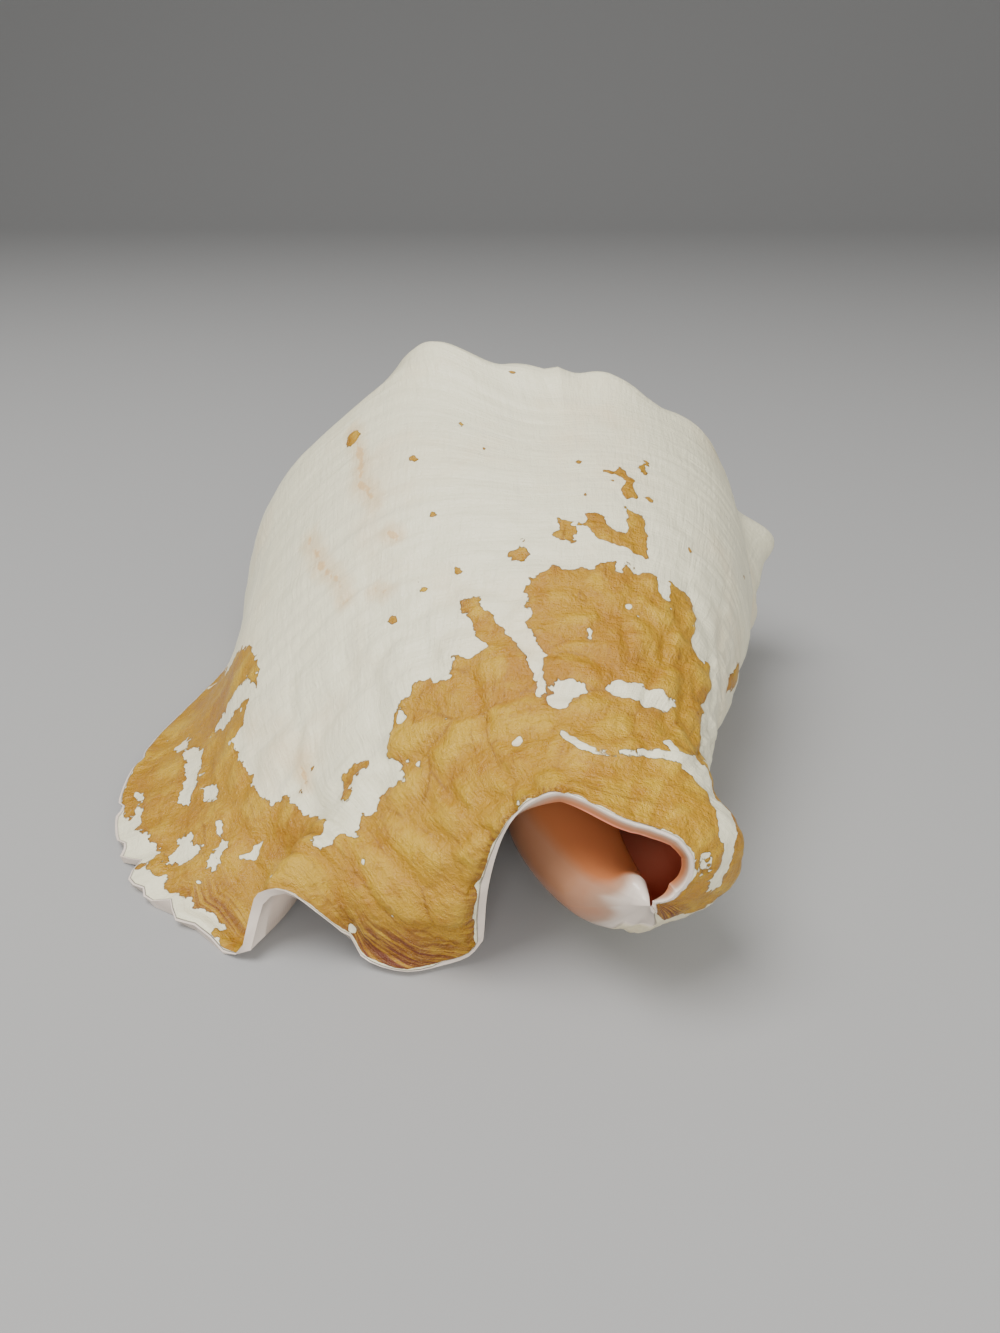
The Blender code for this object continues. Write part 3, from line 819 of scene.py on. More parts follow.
@dataclass
class Zones:
    """Skin, lining, depth and stains at each point, from its growth angle and row."""

    form: ShellForm
    patches: SkinPatches
    angle: Array
    row: Array
    inner: Array
    from_tip: Array
    row_length: float = 165.0
    lip_mm: float = 1.3
    growth_share: float = 0.8
    growth_first: float = -400.0
    canal_growth: float = 55.0
    canal_growth_reach: float = 26.0
    seen_angles: float = 362.0
    core_row_step: float = 0.01
    far: float = 9.0
    canal_rim_first: float = -60.0
    bare_rim: float = 0.7
    bare_flank: float = 1.1
    bare_front: tuple = (0.6, 0.93, 0.05)
    front_first: float = 150.0
    flank_angles: tuple = (120.0, 30.0)
    flank_rows: tuple = (0.93, 0.05)
    rim_steepness: float = 2.5
    callus_angles: tuple = (-92.0, -22.0)
    callus_rows: tuple = (0.20, 0.28)
    fold_angles: tuple = (-58.0, -14.0)
    fold_rows: tuple = (0.955, 0.03)
    glaze: float = 0.8
    glaze_width: float = 0.6
    glaze_angles: tuple = (100.0, 20.0)
    glaze_rows: tuple = (0.93, 0.03)
    rim_width: float = 0.15
    canal_depth: tuple = (0.8, 2.6)
    canal_angles: tuple = (150.0, -50.0)
    lip_depth: tuple = (25.0, 110.0)
    # The lining just inside the lip goes a little towards blush: partly its own tan, partly painted shade on
    # the inner wall of the notch.
    lip_tan_and_shade: float = 0.12
    lip_tan_and_shade_depth: tuple = (2.0, 10.0)
    turned_angles: tuple = (-140.0, -100.0)
    turned_reach: tuple = (5.0, 7.0)
    side_tint: float = 0.42
    side_reach: tuple = (6.0, 10.0)
    side_angles: tuple = (-100.0, -40.0)
    core_deepest: float = 0.72
    tip_reach: float = 7.5
    lobe_stain_rows: tuple = (1.0, 0.935, 0.04)
    lobe_stain_angles: tuple = (1.0, 213.0, 11.0)
    edge_stain_rows: tuple = (1.0, 0.985, 0.012)
    edge_stain_angles: tuple = (100.0, 40.0)
    edge_stain: float = 0.45
    fold_stain: tuple = (0.8, -46.0, 22.0)
    fold_stain_rows: tuple = (0.95, 0.03)
    notch_stain: tuple = (0.5, 208.0, 6.0)
    notch_stain_rows: tuple = (1.0, 0.78, 0.03)
    canal_reach: float = 20.0
    canal_line_angles: tuple = (-75.0, 30.0)

    def __post_init__(self) -> None:
        """Works out the distances and regions that the values share."""
        lip = self.form.coil.lip_angle
        self.from_canal = (1 - self.row) * self.row_length
        self.from_lip = (lip - self.angle) * self.lip_mm
        self.shown = ~self.inner & (self.angle > lip - self.seen_angles)
        low = self.form.coil.seam_row + self.core_row_step
        self.core = ~self.inner & (self.angle <= lip - TURN) & (self.row > low)
        by_canal = np.where(self.angle > self.canal_rim_first, self.from_canal, self.far)
        self.rim = np.minimum(self.from_lip, by_canal)
        self.flank = slope(self.angle, *self.flank_angles) * slope(self.row, *self.flank_rows)

    def on_shown(self, distance: Callable) -> Array:
        """Distances read on the last turn only, far everywhere else.

        Args:
            distance: Function of growth angles and rows.

        Returns:
            Distances in millimetres.
        """
        result = np.full(len(self.angle), self.far)
        result[self.shown] = distance(self.angle[self.shown], self.row[self.shown])
        return result

    def growth(self) -> Array:
        """Place across the growth lines, which bend along the canal, in millimetres."""
        size = self.form.coil.scale(np.maximum(self.angle, self.growth_first))
        by_canal = self.canal_growth * np.exp(-self.from_canal / self.canal_growth_reach)
        return self.from_lip * self.growth_share * size + by_canal

    def skin(self) -> Array:
        """Signed distance to the ochre skin, which stops short of the rims."""
        skin = np.where(self.shown, self.on_shown(self.patches.distance), -self.far)
        front = hill(self.row, *self.bare_front) * (self.angle > self.front_first)
        bare = self.bare_rim + self.bare_flank * self.flank + front
        return np.minimum(skin, self.rim_steepness * (self.rim - bare))

    def nacre(self) -> Array:
        """1 where the surface is glossy: hollow, core, callus and rims."""
        callus = slope(self.angle, *self.callus_angles) * slope(self.row, *self.callus_rows)
        fold = slope(self.angle, *self.fold_angles) * slope(self.row, *self.fold_rows)
        near = self.rim < self.glaze_width + self.bare_flank * self.flank
        glaze = self.glaze * near * slope(self.angle, *self.glaze_angles) * slope(self.row, *self.glaze_rows)
        glossy = np.maximum(np.maximum(callus, fold), np.maximum(glaze, self.rim < self.rim_width))
        return np.where(self.inner | self.core, 1.0, np.where(self.shown, glossy, 0.0))

    def deep(self, nacre: Array) -> Array:
        """How deep the lining's colour is.

        Args:
            nacre: 1 where the surface is glossy.

        Returns:
            Shares from 0 at the rims to 1 deep inside.
        """
        by_canal = slope(self.from_canal, *self.canal_depth) * slope(self.angle, *self.canal_angles)
        # Partly painted shade: the lining just inside the lip is tinted darker because the notch's inner wall
        # lies in shade.
        tan_and_shade = self.lip_tan_and_shade * slope(self.from_lip, *self.lip_tan_and_shade_depth)
        by_lip = np.maximum(slope(self.from_lip, *self.lip_depth), tan_and_shade)
        hollow = np.maximum(by_canal, by_lip) * (1 - bump(self.from_tip / self.tip_reach))
        # The core's lining goes to blush and orange, whose darkness is partly painted shade under the canal's
        # arch.
        turned = slope(self.angle, *self.turned_angles) * slope(self.from_tip, *self.turned_reach)
        side = self.side_tint * slope(self.from_tip, *self.side_reach)
        core = np.minimum(np.maximum(turned, side), self.core_deepest)
        below = self.shown & ~self.core & (nacre > 0)
        under = np.where(below, side * slope(self.angle, *self.side_angles), 0.0)
        return np.where(self.inner, hollow, np.where(self.core, core, under))

    def stain(self) -> Array:
        """Brown stains along the front edge, at the notch and beside the core's tip."""
        lobe = hill(self.row, *self.lobe_stain_rows) * hill(self.angle, *self.lobe_stain_angles)
        edge = hill(self.row, *self.edge_stain_rows) * slope(self.angle, *self.edge_stain_angles)
        fold = hill(self.angle, *self.fold_stain) * slope(self.row, *self.fold_stain_rows)
        notch = hill(self.angle, *self.notch_stain) * hill(self.row, *self.notch_stain_rows)
        return np.max([lobe, self.edge_stain * edge, fold, notch], axis=0) * self.shown

    def canal(self) -> Array:
        """1 at the rim of the canal, where lines follow it."""
        near = bump(self.from_canal / self.canal_reach) * slope(self.angle, *self.canal_angles)
        return near * slope(self.angle, *self.canal_line_angles) * self.shown

    def values(self) -> dict:
        """All surface values, which the relief and the finishes read.

        Returns:
            growth: place across the growth lines, in millimetres.
            across: place along them, in millimetres.
            skin: signed distance to the ochre skin, in millimetres.
            nacre: 1 where the surface is glossy nacre.
            deep: how far inside the hollow, from 0 to 1.
            stain: brown stains on the skin, from 0 to 1.
            blush: distance to the peach creases on the body, in millimetres.
            ridge: distance to the bare ridge behind the canal, in millimetres.
            canal: 1 at the rim of the canal, where lines follow it.
        """
        nacre = self.nacre()
        return dict(growth=self.growth(), across=self.row * self.row_length, skin=self.skin(),
                    nacre=nacre, deep=self.deep(nacre), stain=self.stain(),
                    blush=self.on_shown(self.patches.crease_distance),
                    ridge=self.on_shown(self.patches.ridge_distance), canal=self.canal())


@dataclass
class ShellSkin:
    """Closed mesh of the shell, outside and hollow joined at the rims, with its surface values."""

    form: ShellForm = field(default_factory=ShellForm)
    patches: SkinPatches = field(default_factory=SkinPatches)
    columns: int = 320
    flare_columns: int = 130
    upper_rows: int = 18
    lower_rows: int = 112
    hollow_step: int = 2
    spire_step: int = 3
    blend_angle: float = 5.0
    sharp_angle: float = 60.0
    points: list = field(default_factory=list)
    marks: list = field(default_factory=list)
    index: dict = field(default_factory=dict)
    faces: list = field(default_factory=list)

    def __post_init__(self) -> None:
        """Lays out rows, columns and the two grids of points."""
        coil = self.form.coil
        upper = np.linspace(0, coil.seam_row, self.upper_rows + 1)
        lower = np.linspace(self.form.hollow_row, 1, self.lower_rows + 1)
        self.rows = np.concatenate([upper, lower])
        self.seam = self.upper_rows
        self.join = self.seam + 1
        self.last = len(self.rows) - 1
        self.angles = self.growth_angles()
        self.rim = len(self.angles) - 1
        self.back = self.rim - self.columns
        self.tip = int(np.argmin(abs(self.angles - coil.front_tip_angle)))
        deep_angle = coil.front_tip_angle - self.form.hollow_depth_angle
        self.deep = int(np.argmin(abs(self.angles - deep_angle)))
        angle, row = np.meshgrid(self.angles, self.rows, indexing="ij")
        core = angle < coil.front_tip_angle - TURN - TINY
        self.outer = self.form.outside(angle, np.where(core, self.form.deep_row(angle + TURN, row), row))
        self.inner = self.form.inside(angle[self.deep:], row[self.deep:])

    def growth_angles(self) -> Array:
        """Growth angles of all columns, closer together on the flare.

        Returns:
            Rising angles, with one at the front tip of each turn.
        """
        coil = self.form.coil
        start = coil.flare_angle - self.blend_angle
        rest = self.columns - self.flare_columns
        turn = np.linspace(coil.lip_angle - TURN, start, rest + 1)[:-1]
        turn[int(np.argmin(abs(turn - coil.front_tip_angle)))] = coil.front_tip_angle
        flare = np.linspace(start, coil.lip_angle, self.flare_columns + 1)[:-1]
        whole = np.concatenate([turn, flare])
        turns = [whole - TURN * k for k in range(coil.turns - 1, -1, -1)]
        return np.concatenate(turns + [[coil.lip_angle]])

    def vertex(self, side: Side, column: int, row: int) -> int:
        """Index of a vertex, shared where the turns meet.

        Args:
            side: Outside or hollow.
            column: Column of the grid.
            row: Row of the grid.

        Returns:
            The index in the mesh.
        """
        if side is Side.OUT and row == 0 and column >= self.columns:
            return self.vertex(Side.OUT, column - self.columns, self.seam)
        if side is Side.IN and row == 0:
            return self.vertex(Side.OUT, column - self.columns, self.join)
        if side is Side.IN and row == self.last and column <= self.tip:
            return self.vertex(Side.OUT, column - self.columns, self.last)
        key = (side, column, row)
        if side is Side.OUT and (row == 0 or column == 0):
            key = "spire tip"
        elif side is Side.OUT and row == self.last and self.tip - self.columns <= column <= self.tip:
            key = "front tip"
        if key not in self.index:
            self.index[key] = len(self.points)
            if key == "spire tip":
                point, mark = self.outer[0, 0], (0, 0, 0)
            elif key == "front tip":
                point, mark = self.outer[self.tip, self.last], (self.tip, self.last, 0)
            elif side is Side.OUT:
                point, mark = self.outer[column, row], (column, row, 0)
            else:
                point, mark = self.inner[column - self.deep, row], (column, row, 1)
            self.points.append(point)
            self.marks.append(mark)
        return self.index[key]

    def face(self, *corners: int) -> None:
        """Adds a face, leaving out corners that fall together.

        Args:
            corners: Indices of its corners, clockwise seen from outside.
        """
        kept = list(dict.fromkeys(corners))
        if len(kept) >= 3:
            self.faces.append(tuple(reversed(kept)))

    def strip(self, column: int, rows: list, widen: bool) -> None:
        """Outside faces between two columns.

        Args:
            column: First of the two columns.
            rows: Rows that the faces run between.
            widen: Whether the far side takes all rows.
        """
        out = Side.OUT
        for a, b in zip(rows[:-1], rows[1:]):
            far = [i for i in range(b, a - 1, -1) if widen or i in (a, b)]
            self.face(self.vertex(out, column, a), self.vertex(out, column, b),
                      *[self.vertex(out, column + 1, i) for i in far])

    def hollow_rows(self) -> list:
        """Rows that the hollow's walls use."""
        low = list(range(self.join, self.last, self.hollow_step)) + [self.last]
        return list(range(0, self.join, self.hollow_step)) + low

    def build(self) -> None:
        """Builds all faces of the closed skin."""
        spire = list(range(0, self.seam, self.spire_step)) + [self.seam]
        hollow = self.hollow_rows()
        low = [i for i in hollow if i >= self.join]
        for column in range(self.back):
            self.strip(column, spire, column == self.back - 1)
        for column in range(self.deep - self.columns, self.back):
            self.strip(column, low, column == self.back - 1)
        for column in range(self.back, self.rim):
            self.strip(column, list(range(self.last + 1)), False)
        out, inn = Side.OUT, Side.IN
        for column in range(self.deep, self.rim):
            for a, b in zip(hollow[:-1], hollow[1:]):
                self.face(self.vertex(inn, column, a), self.vertex(inn, column + 1, a),
                          self.vertex(inn, column + 1, b), self.vertex(inn, column, b))
        for column in range(self.tip, self.rim):
            self.face(self.vertex(out, column, self.last), self.vertex(inn, column, self.last),
                      self.vertex(inn, column + 1, self.last), self.vertex(out, column + 1, self.last))
        far = self.deep - self.columns
        for a, b in zip(hollow[:-1], hollow[1:]):
            self.face(*[self.vertex(out, self.rim, i) for i in range(a, b + 1)],
                      self.vertex(inn, self.rim, b), self.vertex(inn, self.rim, a))
            self.face(self.vertex(inn, self.deep, a), self.vertex(inn, self.deep, b),
                      self.vertex(out, far, max(b, self.join)), self.vertex(out, far, max(a, self.join)))

    def values(self) -> dict:
        """Surface values at every point, by name."""
        marks = np.array(self.marks)
        tip = self.outer[self.tip, self.last]
        from_tip = np.linalg.norm(np.array(self.points) - tip, axis=1)
        zones = Zones(self.form, self.patches, self.angles[marks[:, 0]], self.rows[marks[:, 1]],
                      marks[:, 2] == 1, from_tip)
        return zones.values()

    def mesh(self) -> bpy.types.Mesh:
        """The shell's mesh in metres, on the floor and centred as the solid is.

        Returns:
            A mesh with its surface values as attributes.
        """
        self.build()
        points = np.array(self.points)
        points[:, 2] = np.maximum(points[:, 2], 0.0)
        low, high = points.min(axis=0), points.max(axis=0)
        middle = (np.array(CAD_BOX[0]) + np.array(CAD_BOX[1])) / 2 / MM
        points[:, :2] += middle[:2] - (low[:2] + high[:2]) / 2
        mesh = bpy.data.meshes.new("conch_shell_surface")
        mesh.from_pydata([tuple(float(v) * MM for v in p) for p in points], [], self.faces)
        for name, numbers in self.values().items():
            layer = mesh.attributes.new(name, "FLOAT", "POINT")
            layer.data.foreach_set("value", numbers.astype(np.float32))
        work = bmesh.new()
        work.from_mesh(mesh)
        bmesh.ops.recalc_face_normals(work, faces=work.faces[:])
        work.to_mesh(mesh)
        work.free()
        mesh.polygons.foreach_set("use_smooth", [True] * len(mesh.polygons))
        mesh.set_sharp_from_angle(angle=math.radians(self.sharp_angle))
        return mesh


class NodeDesk:
    """Short ways to add and join nodes in one node tree."""

    def __init__(self, tree: bpy.types.NodeTree) -> None:
        """Keeps the tree that the nodes go into."""
        self.tree = tree
        self.shader = tree.bl_idname == "ShaderNodeTree"

    def feed(self, socket: Socket, value: Value) -> None:
        """Links a socket to another one, or sets its value.

        Args:
            socket: Input of a node.
            value: Output of another node, or a plain value.
        """
        if isinstance(value, Socket):
            self.tree.links.new(value, socket)
        else:
            socket.default_value = value

    def add(self, kind: str, inputs: dict = None, **settings: str) -> bpy.types.Node:
        """Adds a node.

        Args:
            kind: Node type.
            inputs: Socket name or number to a value or another socket.
            settings: Properties of the node.

        Returns:
            The new node.
        """
        node = self.tree.nodes.new(kind)
        for name, value in settings.items():
            setattr(node, name, value)
        for name, value in (inputs or {}).items():
            self.feed(node.inputs[name], value)
        return node

    def value(self, name: str) -> Socket:
        """Surface value of the shell by its name.

        Args:
            name: Name of the attribute.

        Returns:
            A value socket.
        """
        if self.shader:
            return self.add("ShaderNodeAttribute", attribute_name=name).outputs["Fac"]
        node = self.add("GeometryNodeInputNamedAttribute", {"Name": name}, data_type="FLOAT")
        return node.outputs[0]

    def place(self) -> Socket:
        """Place in the object, in metres."""
        if self.shader:
            return self.add("ShaderNodeTexCoord").outputs["Object"]
        return self.add("GeometryNodeInputPosition").outputs[0]

    def math(self, operation: str, a: Value, b: Value = 0.0, c: Value = 0.0) -> Socket:
        """Result of a math node."""
        return self.add("ShaderNodeMath", {0: a, 1: b, 2: c}, operation=operation).outputs[0]

    def times(self, a: Value, b: Value) -> Socket:
        """Product of two values."""
        return self.math("MULTIPLY", a, b)

    def scaled(self, value: Value, factor: Value, offset: Value) -> Socket:
        """A value times a factor, plus an offset."""
        return self.math("MULTIPLY_ADD", value, factor, offset)

    def rest(self, share: Value) -> Socket:
        """What a share leaves of 1."""
        return self.math("SUBTRACT", 1.0, share)

    def centred(self, noise: Value) -> Socket:
        """A noise about 0 instead of about one half."""
        return self.math("SUBTRACT", noise, 0.5)

    def step(self, value: Value, low: float, high: float) -> Socket:
        """Smooth step of a value from 0 at low to 1 at high."""
        node = self.add("ShaderNodeMapRange", {"Value": value, "From Min": low, "From Max": high},
                        interpolation_type="SMOOTHSTEP")
        return node.outputs["Result"]

    def noise(self, where: Socket, scale: float, detail: float = 3.0, rough: float = 0.55) -> Socket:
        """Noise at a place, about 0.5 on average.

        Args:
            where: Place to read.
            scale: Cycles per unit of the place.
            detail: Number of finer octaves.
            rough: Strength of the finer octaves.

        Returns:
            A value socket.
        """
        return self.add("ShaderNodeTexNoise", {"Vector": where, "Scale": scale, "Detail": detail,
                                               "Roughness": rough}).outputs[0]

    def on_shell(self, along: float, across: float, shift: float = 0.0) -> Socket:
        """Place on the shell's surface, stretched as growth lines or cords need.

        Args:
            along: Cycles per millimetre across the growth lines.
            across: Cycles per millimetre along them.
            shift: Moves the pattern to a different part of the noise.

        Returns:
            A vector socket.
        """
        x = self.scaled(self.value("growth"), along, shift)
        y = self.times(self.value("across"), across)
        return self.add("ShaderNodeCombineXYZ", {0: x, 1: y, 2: shift}).outputs[0]

    def drawn(self, along: float, across: float, shift: float, detail: float, rough: float = 0.55) -> Socket:
        """Noise on the shell's surface.

        Args:
            along: Cycles per millimetre across the growth lines.
            across: Cycles per millimetre along them.
            shift: Moves the pattern to a different part of the noise.
            detail: Number of finer octaves.
            rough: Strength of the finer octaves.

        Returns:
            A value socket.
        """
        return self.noise(self.on_shell(along, across, shift), 1.0, detail, rough)

    def mix(self, share: Value, a: Colour, b: Colour) -> Socket:
        """Colour between two colours.

        Args:
            share: 0 for the first colour and 1 for the second.
            a: First colour.
            b: Second colour.

        Returns:
            A colour socket.
        """
        node = self.add("ShaderNodeMix", data_type="RGBA")
        for socket, value in zip((node.inputs[0], node.inputs[6], node.inputs[7]), (share, a, b)):
            self.feed(socket, value)
        return node.outputs[2]


@dataclass(frozen=True)
class Patterns:
    """Patterns that the relief and the finishes share.

    A drawn noise is (cycles per millimetre across the growth lines, along them, shift,
    detail, roughness), and a step is (value at 0, value at 1).
    """

    edge_noise: tuple = (210.0, 2.5, 0.6)
    edge_shift_mm: float = 5.0
    line_detail: tuple = (5.0, 0.65)
    rim_line_detail: tuple = (4.0, 0.6)
    rim_line_length: float = 0.010
    canal_step: tuple = (0.25, 0.7)
    cell_bend: tuple = (0.07, 0.05, 8.0, 2.0)
    cell_length: float = 15.0
    cell_width: float = 9.5
    cell_randomness: float = 0.9
    crest_step: tuple = (0.0, 0.32)
    swell: tuple = (0.07, 0.10, 11.0, 2.0)
    swell_step: tuple = (0.25, 0.75)

    def skin_edge(self, desk: NodeDesk) -> Socket:
        """Distance to the ragged edge of the ochre skin, positive on it."""
        jag = desk.noise(desk.place(), *self.edge_noise)
        return desk.scaled(desk.centred(jag), self.edge_shift_mm, desk.value("skin"))

    def lines(self, desk: NodeDesk, fine: float, long: float, shift: float) -> Socket:
        """Noise drawn out along the growth lines, which follow the rim at the canal.

        Args:
            desk: Desk of the tree.
            fine: Cycles per millimetre across the lines.
            long: Cycles per millimetre along them.
            shift: Moves the pattern to a different part of the noise.

        Returns:
            A value about 0.5 on average.
        """
        body = desk.drawn(fine, long, shift, *self.line_detail)
        rim = desk.drawn(self.rim_line_length, fine, shift + 1.0, *self.rim_line_detail)
        near = desk.step(desk.value("canal"), *self.canal_step)
        return desk.scaled(desk.math("SUBTRACT", rim, body), near, body)

    def cells(self, desk: NodeDesk, feature: str) -> bpy.types.Node:
        """Uneven cells between the spiral cords and the growth folds.

        Args:
            desk: Desk of the tree.
            feature: What the node gives: F1 or DISTANCE_TO_EDGE.

        Returns:
            The Voronoi node.
        """
        bend = desk.drawn(*self.cell_bend)
        x = desk.scaled(desk.value("growth"), 1 / self.cell_length, bend)
        y = desk.scaled(desk.value("across"), 1 / self.cell_width, bend)
        where = desk.add("ShaderNodeCombineXYZ", {0: x, 1: y, 2: 0.0}).outputs[0]
        return desk.add("ShaderNodeTexVoronoi",
                        {"Vector": where, "Scale": 1.0, "Randomness": self.cell_randomness},
                        voronoi_dimensions="2D", feature=feature)

    def waves(self, desk: NodeDesk) -> Socket:
        """Swollen cells of the front, from 0 in the creases to 1 on the crests."""
        edge = self.cells(desk, "DISTANCE_TO_EDGE").outputs["Distance"]
        swell = desk.times(desk.step(desk.drawn(*self.swell), *self.swell_step), 0.5)
        return desk.scaled(desk.step(edge, *self.crest_step), 0.5, swell)

    def off_canal(self, desk: NodeDesk) -> Socket:
        """1 away from the rim of the canal."""
        return desk.rest(desk.value("canal"))


PATTERNS = Patterns()


@dataclass(frozen=True)
class Relief:
    """Low relief of the surface, as a Geometry Nodes tree: heights in metres."""

    cord_height: float = 0.00022
    cord_spacing_mm: float = 4.2
    wave_height: float = 0.0024
    growth_height: float = 0.0006
    skin_height: float = 0.00022
    cord_wander: tuple = (0.01, 0.06, 4.0, 2.0)
    cord_wander_turns: float = 2.2
    cord_patches: tuple = (0.02, 0.035, 0.0, 2.0)
    cord_step: tuple = (0.35, 0.65)
    folds: tuple = (0.16, 0.012, 0.0, 2.0)
    fold_step_mm: tuple = (75.0, 20.0)
    fold_share: tuple = (1.1, 0.35)
    wave_step_mm: tuple = (75.0, 135.0)
    wave_share: tuple = (0.8, 0.12)
    rings: tuple = (0.006, 0.14, 23.0, 2.0)
    ring_share: float = 2.5
    skin_step_mm: tuple = (-0.2, 0.5)

    def sizes(self) -> dict:
        """Sizes that the tree takes, by the names of its inputs."""
        return {"Cord height": self.cord_height, "Cord spacing": self.cord_spacing_mm,
                "Wave height": self.wave_height, "Growth height": self.growth_height,
                "Skin height": self.skin_height}

    def cords(self, desk: NodeDesk, given: dict) -> Socket:
        """Fine spiral cords, stronger in some places.

        Args:
            desk: Desk of the tree.
            given: Outputs of the tree's own inputs.

        Returns:
            Heights in metres.
        """
        beat = desk.math("DIVIDE", desk.value("across"), given["Cord spacing"])
        beat = desk.scaled(desk.drawn(*self.cord_wander), self.cord_wander_turns, beat)
        cords = desk.math("SINE", desk.times(beat, 2 * math.pi))
        strength = desk.step(desk.drawn(*self.cord_patches), *self.cord_step)
        return desk.times(desk.times(cords, strength), given["Cord height"])

    def growth_folds(self, desk: NodeDesk, given: dict) -> Socket:
        """Folds along the growth lines, and rings that follow the canal's rim.

        Args:
            desk: Desk of the tree.
            given: Outputs of the tree's own inputs.

        Returns:
            Heights in metres.
        """
        near_rim = desk.step(desk.value("growth"), *self.fold_step_mm)
        folds = desk.times(desk.centred(desk.drawn(*self.folds)), desk.scaled(near_rim, *self.fold_share))
        folds = desk.times(desk.times(folds, given["Growth height"]), PATTERNS.off_canal(desk))
        rings = desk.times(desk.centred(desk.drawn(*self.rings)), desk.value("canal"))
        return desk.scaled(desk.times(rings, given["Growth height"]), self.ring_share, folds)

    def swollen_cells(self, desk: NodeDesk, given: dict) -> Socket:
        """Swollen cells, highest towards the front.

        Args:
            desk: Desk of the tree.
            given: Outputs of the tree's own inputs.

        Returns:
            Heights in metres.
        """
        front = desk.step(desk.value("across"), *self.wave_step_mm)
        waves = desk.times(desk.centred(PATTERNS.waves(desk)), given["Wave height"])
        return desk.times(desk.times(waves, desk.scaled(front, *self.wave_share)), PATTERNS.off_canal(desk))

    def tree(self, material: bpy.types.Material) -> bpy.types.NodeTree:
        """Tree that lifts the surface by cords, growth folds and the skin's thickness.

        Args:
            material: Finish set on the result.

        Returns:
            The tree, with its sizes as named inputs.
        """
        tree = bpy.data.node_groups.new("shell_relief", "GeometryNodeTree")
        tree.interface.new_socket("Shell", in_out="INPUT", socket_type="NodeSocketGeometry")
        for name in self.sizes():
            tree.interface.new_socket(name, in_out="INPUT", socket_type="NodeSocketFloat")
        tree.interface.new_socket("Shell", in_out="OUTPUT", socket_type="NodeSocketGeometry")
        desk = NodeDesk(tree)
        given = desk.add("NodeGroupInput").outputs
        skin = desk.times(desk.step(PATTERNS.skin_edge(desk), *self.skin_step_mm), given["Skin height"])
        grown = desk.math("ADD", self.cords(desk, given), self.growth_folds(desk, given))
        lift = desk.math("ADD", grown, desk.math("ADD", self.swollen_cells(desk, given), skin))
        lift = desk.times(lift, desk.rest(desk.value("nacre")))
        normal = desk.add("GeometryNodeInputNormal").outputs[0]
        offset = desk.add("ShaderNodeVectorMath", {0: normal, "Scale": lift}, operation="SCALE").outputs[0]
        moved = desk.add("GeometryNodeSetPosition", {"Geometry": given["Shell"], "Offset": offset})
        whole = desk.add("GeometryNodeRealizeInstances", {0: moved.outputs[0]}).outputs[0]
        dressed = desk.add("GeometryNodeSetMaterial", {"Geometry": whole, "Material": material})
        desk.add("NodeGroupOutput", {0: dressed.outputs[0]})
        return tree

    def apply(self, piece: bpy.types.Object, material: bpy.types.Material) -> bpy.types.Object:
        """Turns a smooth shell into one with its relief as plain mesh.

        Args:
            piece: The smooth shell.
            material: Finish of the result.

        Returns:
            The same object with its new mesh.
        """
        tree = self.tree(material)
        modifier = piece.modifiers.new("relief", "NODES")
        modifier.node_group = tree
        sizes = self.sizes()
        for item in tree.interface.items_tree:
            if item.in_out == "INPUT" and item.name in sizes:
                modifier[item.identifier] = sizes[item.name]
        graph = bpy.context.evaluated_depsgraph_get()
        plain = bpy.data.meshes.new_from_object(piece.evaluated_get(graph), depsgraph=graph)
        piece.modifiers.remove(modifier)
        piece.data = plain
        points = np.zeros(len(plain.vertices) * 3)
        plain.vertices.foreach_get("co", points)
        points[2::3] = np.maximum(points[2::3], 0.0)
        plain.vertices.foreach_set("co", points)
        plain.update()
        return piece


@dataclass(frozen=True)
class Ivory:
    """Bare shell under the skin, chalky with faint peach.

    A noise is (cycles per metre, detail, roughness).
    """

    base: tuple = (0.87, 0.82, 0.58, 1)
    warm: tuple = (0.85, 0.71, 0.46, 1)
    cool: tuple = (0.70, 0.665, 0.51, 1)
    peach: tuple = (0.74, 0.47, 0.20, 1)
    clouds: tuple = (26.0, 4.0, 0.6)
    cloud_step: tuple = (0.48, 0.82)
    growth_lines: tuple = (0.5, 0.03, 5.0, 4.0, 0.6)
    line_step: tuple = (0.52, 0.8)
    line_share: float = 0.35
    cords: tuple = (0.03, 0.42, 6.0, 3.0, 0.6)
    cord_step: tuple = (0.55, 0.75)
    cord_share: float = 0.3
    spots: tuple = (240.0, 3.0, 0.6)
    spot_shift_mm: float = 3.2
    halo_step_mm: tuple = (3.2, 0.4)
    halo_share: float = 0.4
    crease_step_mm: tuple = (0.75, 0.15)
    crease_share: float = 0.85

    def colour(self, desk: NodeDesk) -> Socket:
        """Colour of the bare shell.

        Args:
            desk: Desk of the material.

        Returns:
            A colour socket.
        """
        place = desk.place()
        cloud = desk.step(desk.noise(place, *self.clouds), *self.cloud_step)
        colour = desk.mix(cloud, self.base, self.warm)
        lines = desk.step(desk.drawn(*self.growth_lines), *self.line_step)
        colour = desk.mix(desk.times(lines, self.line_share), colour, self.cool)
        cords = desk.step(desk.drawn(*self.cords), *self.cord_step)
        colour = desk.mix(desk.times(cords, self.cord_share), colour, self.cool)
        spots = desk.centred(desk.noise(place, *self.spots))
        away = desk.scaled(spots, self.spot_shift_mm, desk.value("blush"))
        halo = desk.times(desk.step(away, *self.halo_step_mm), self.halo_share)
        crease = desk.times(desk.step(away, *self.crease_step_mm), self.crease_share)
        return desk.mix(desk.math("MAXIMUM", halo, crease), colour, self.peach)


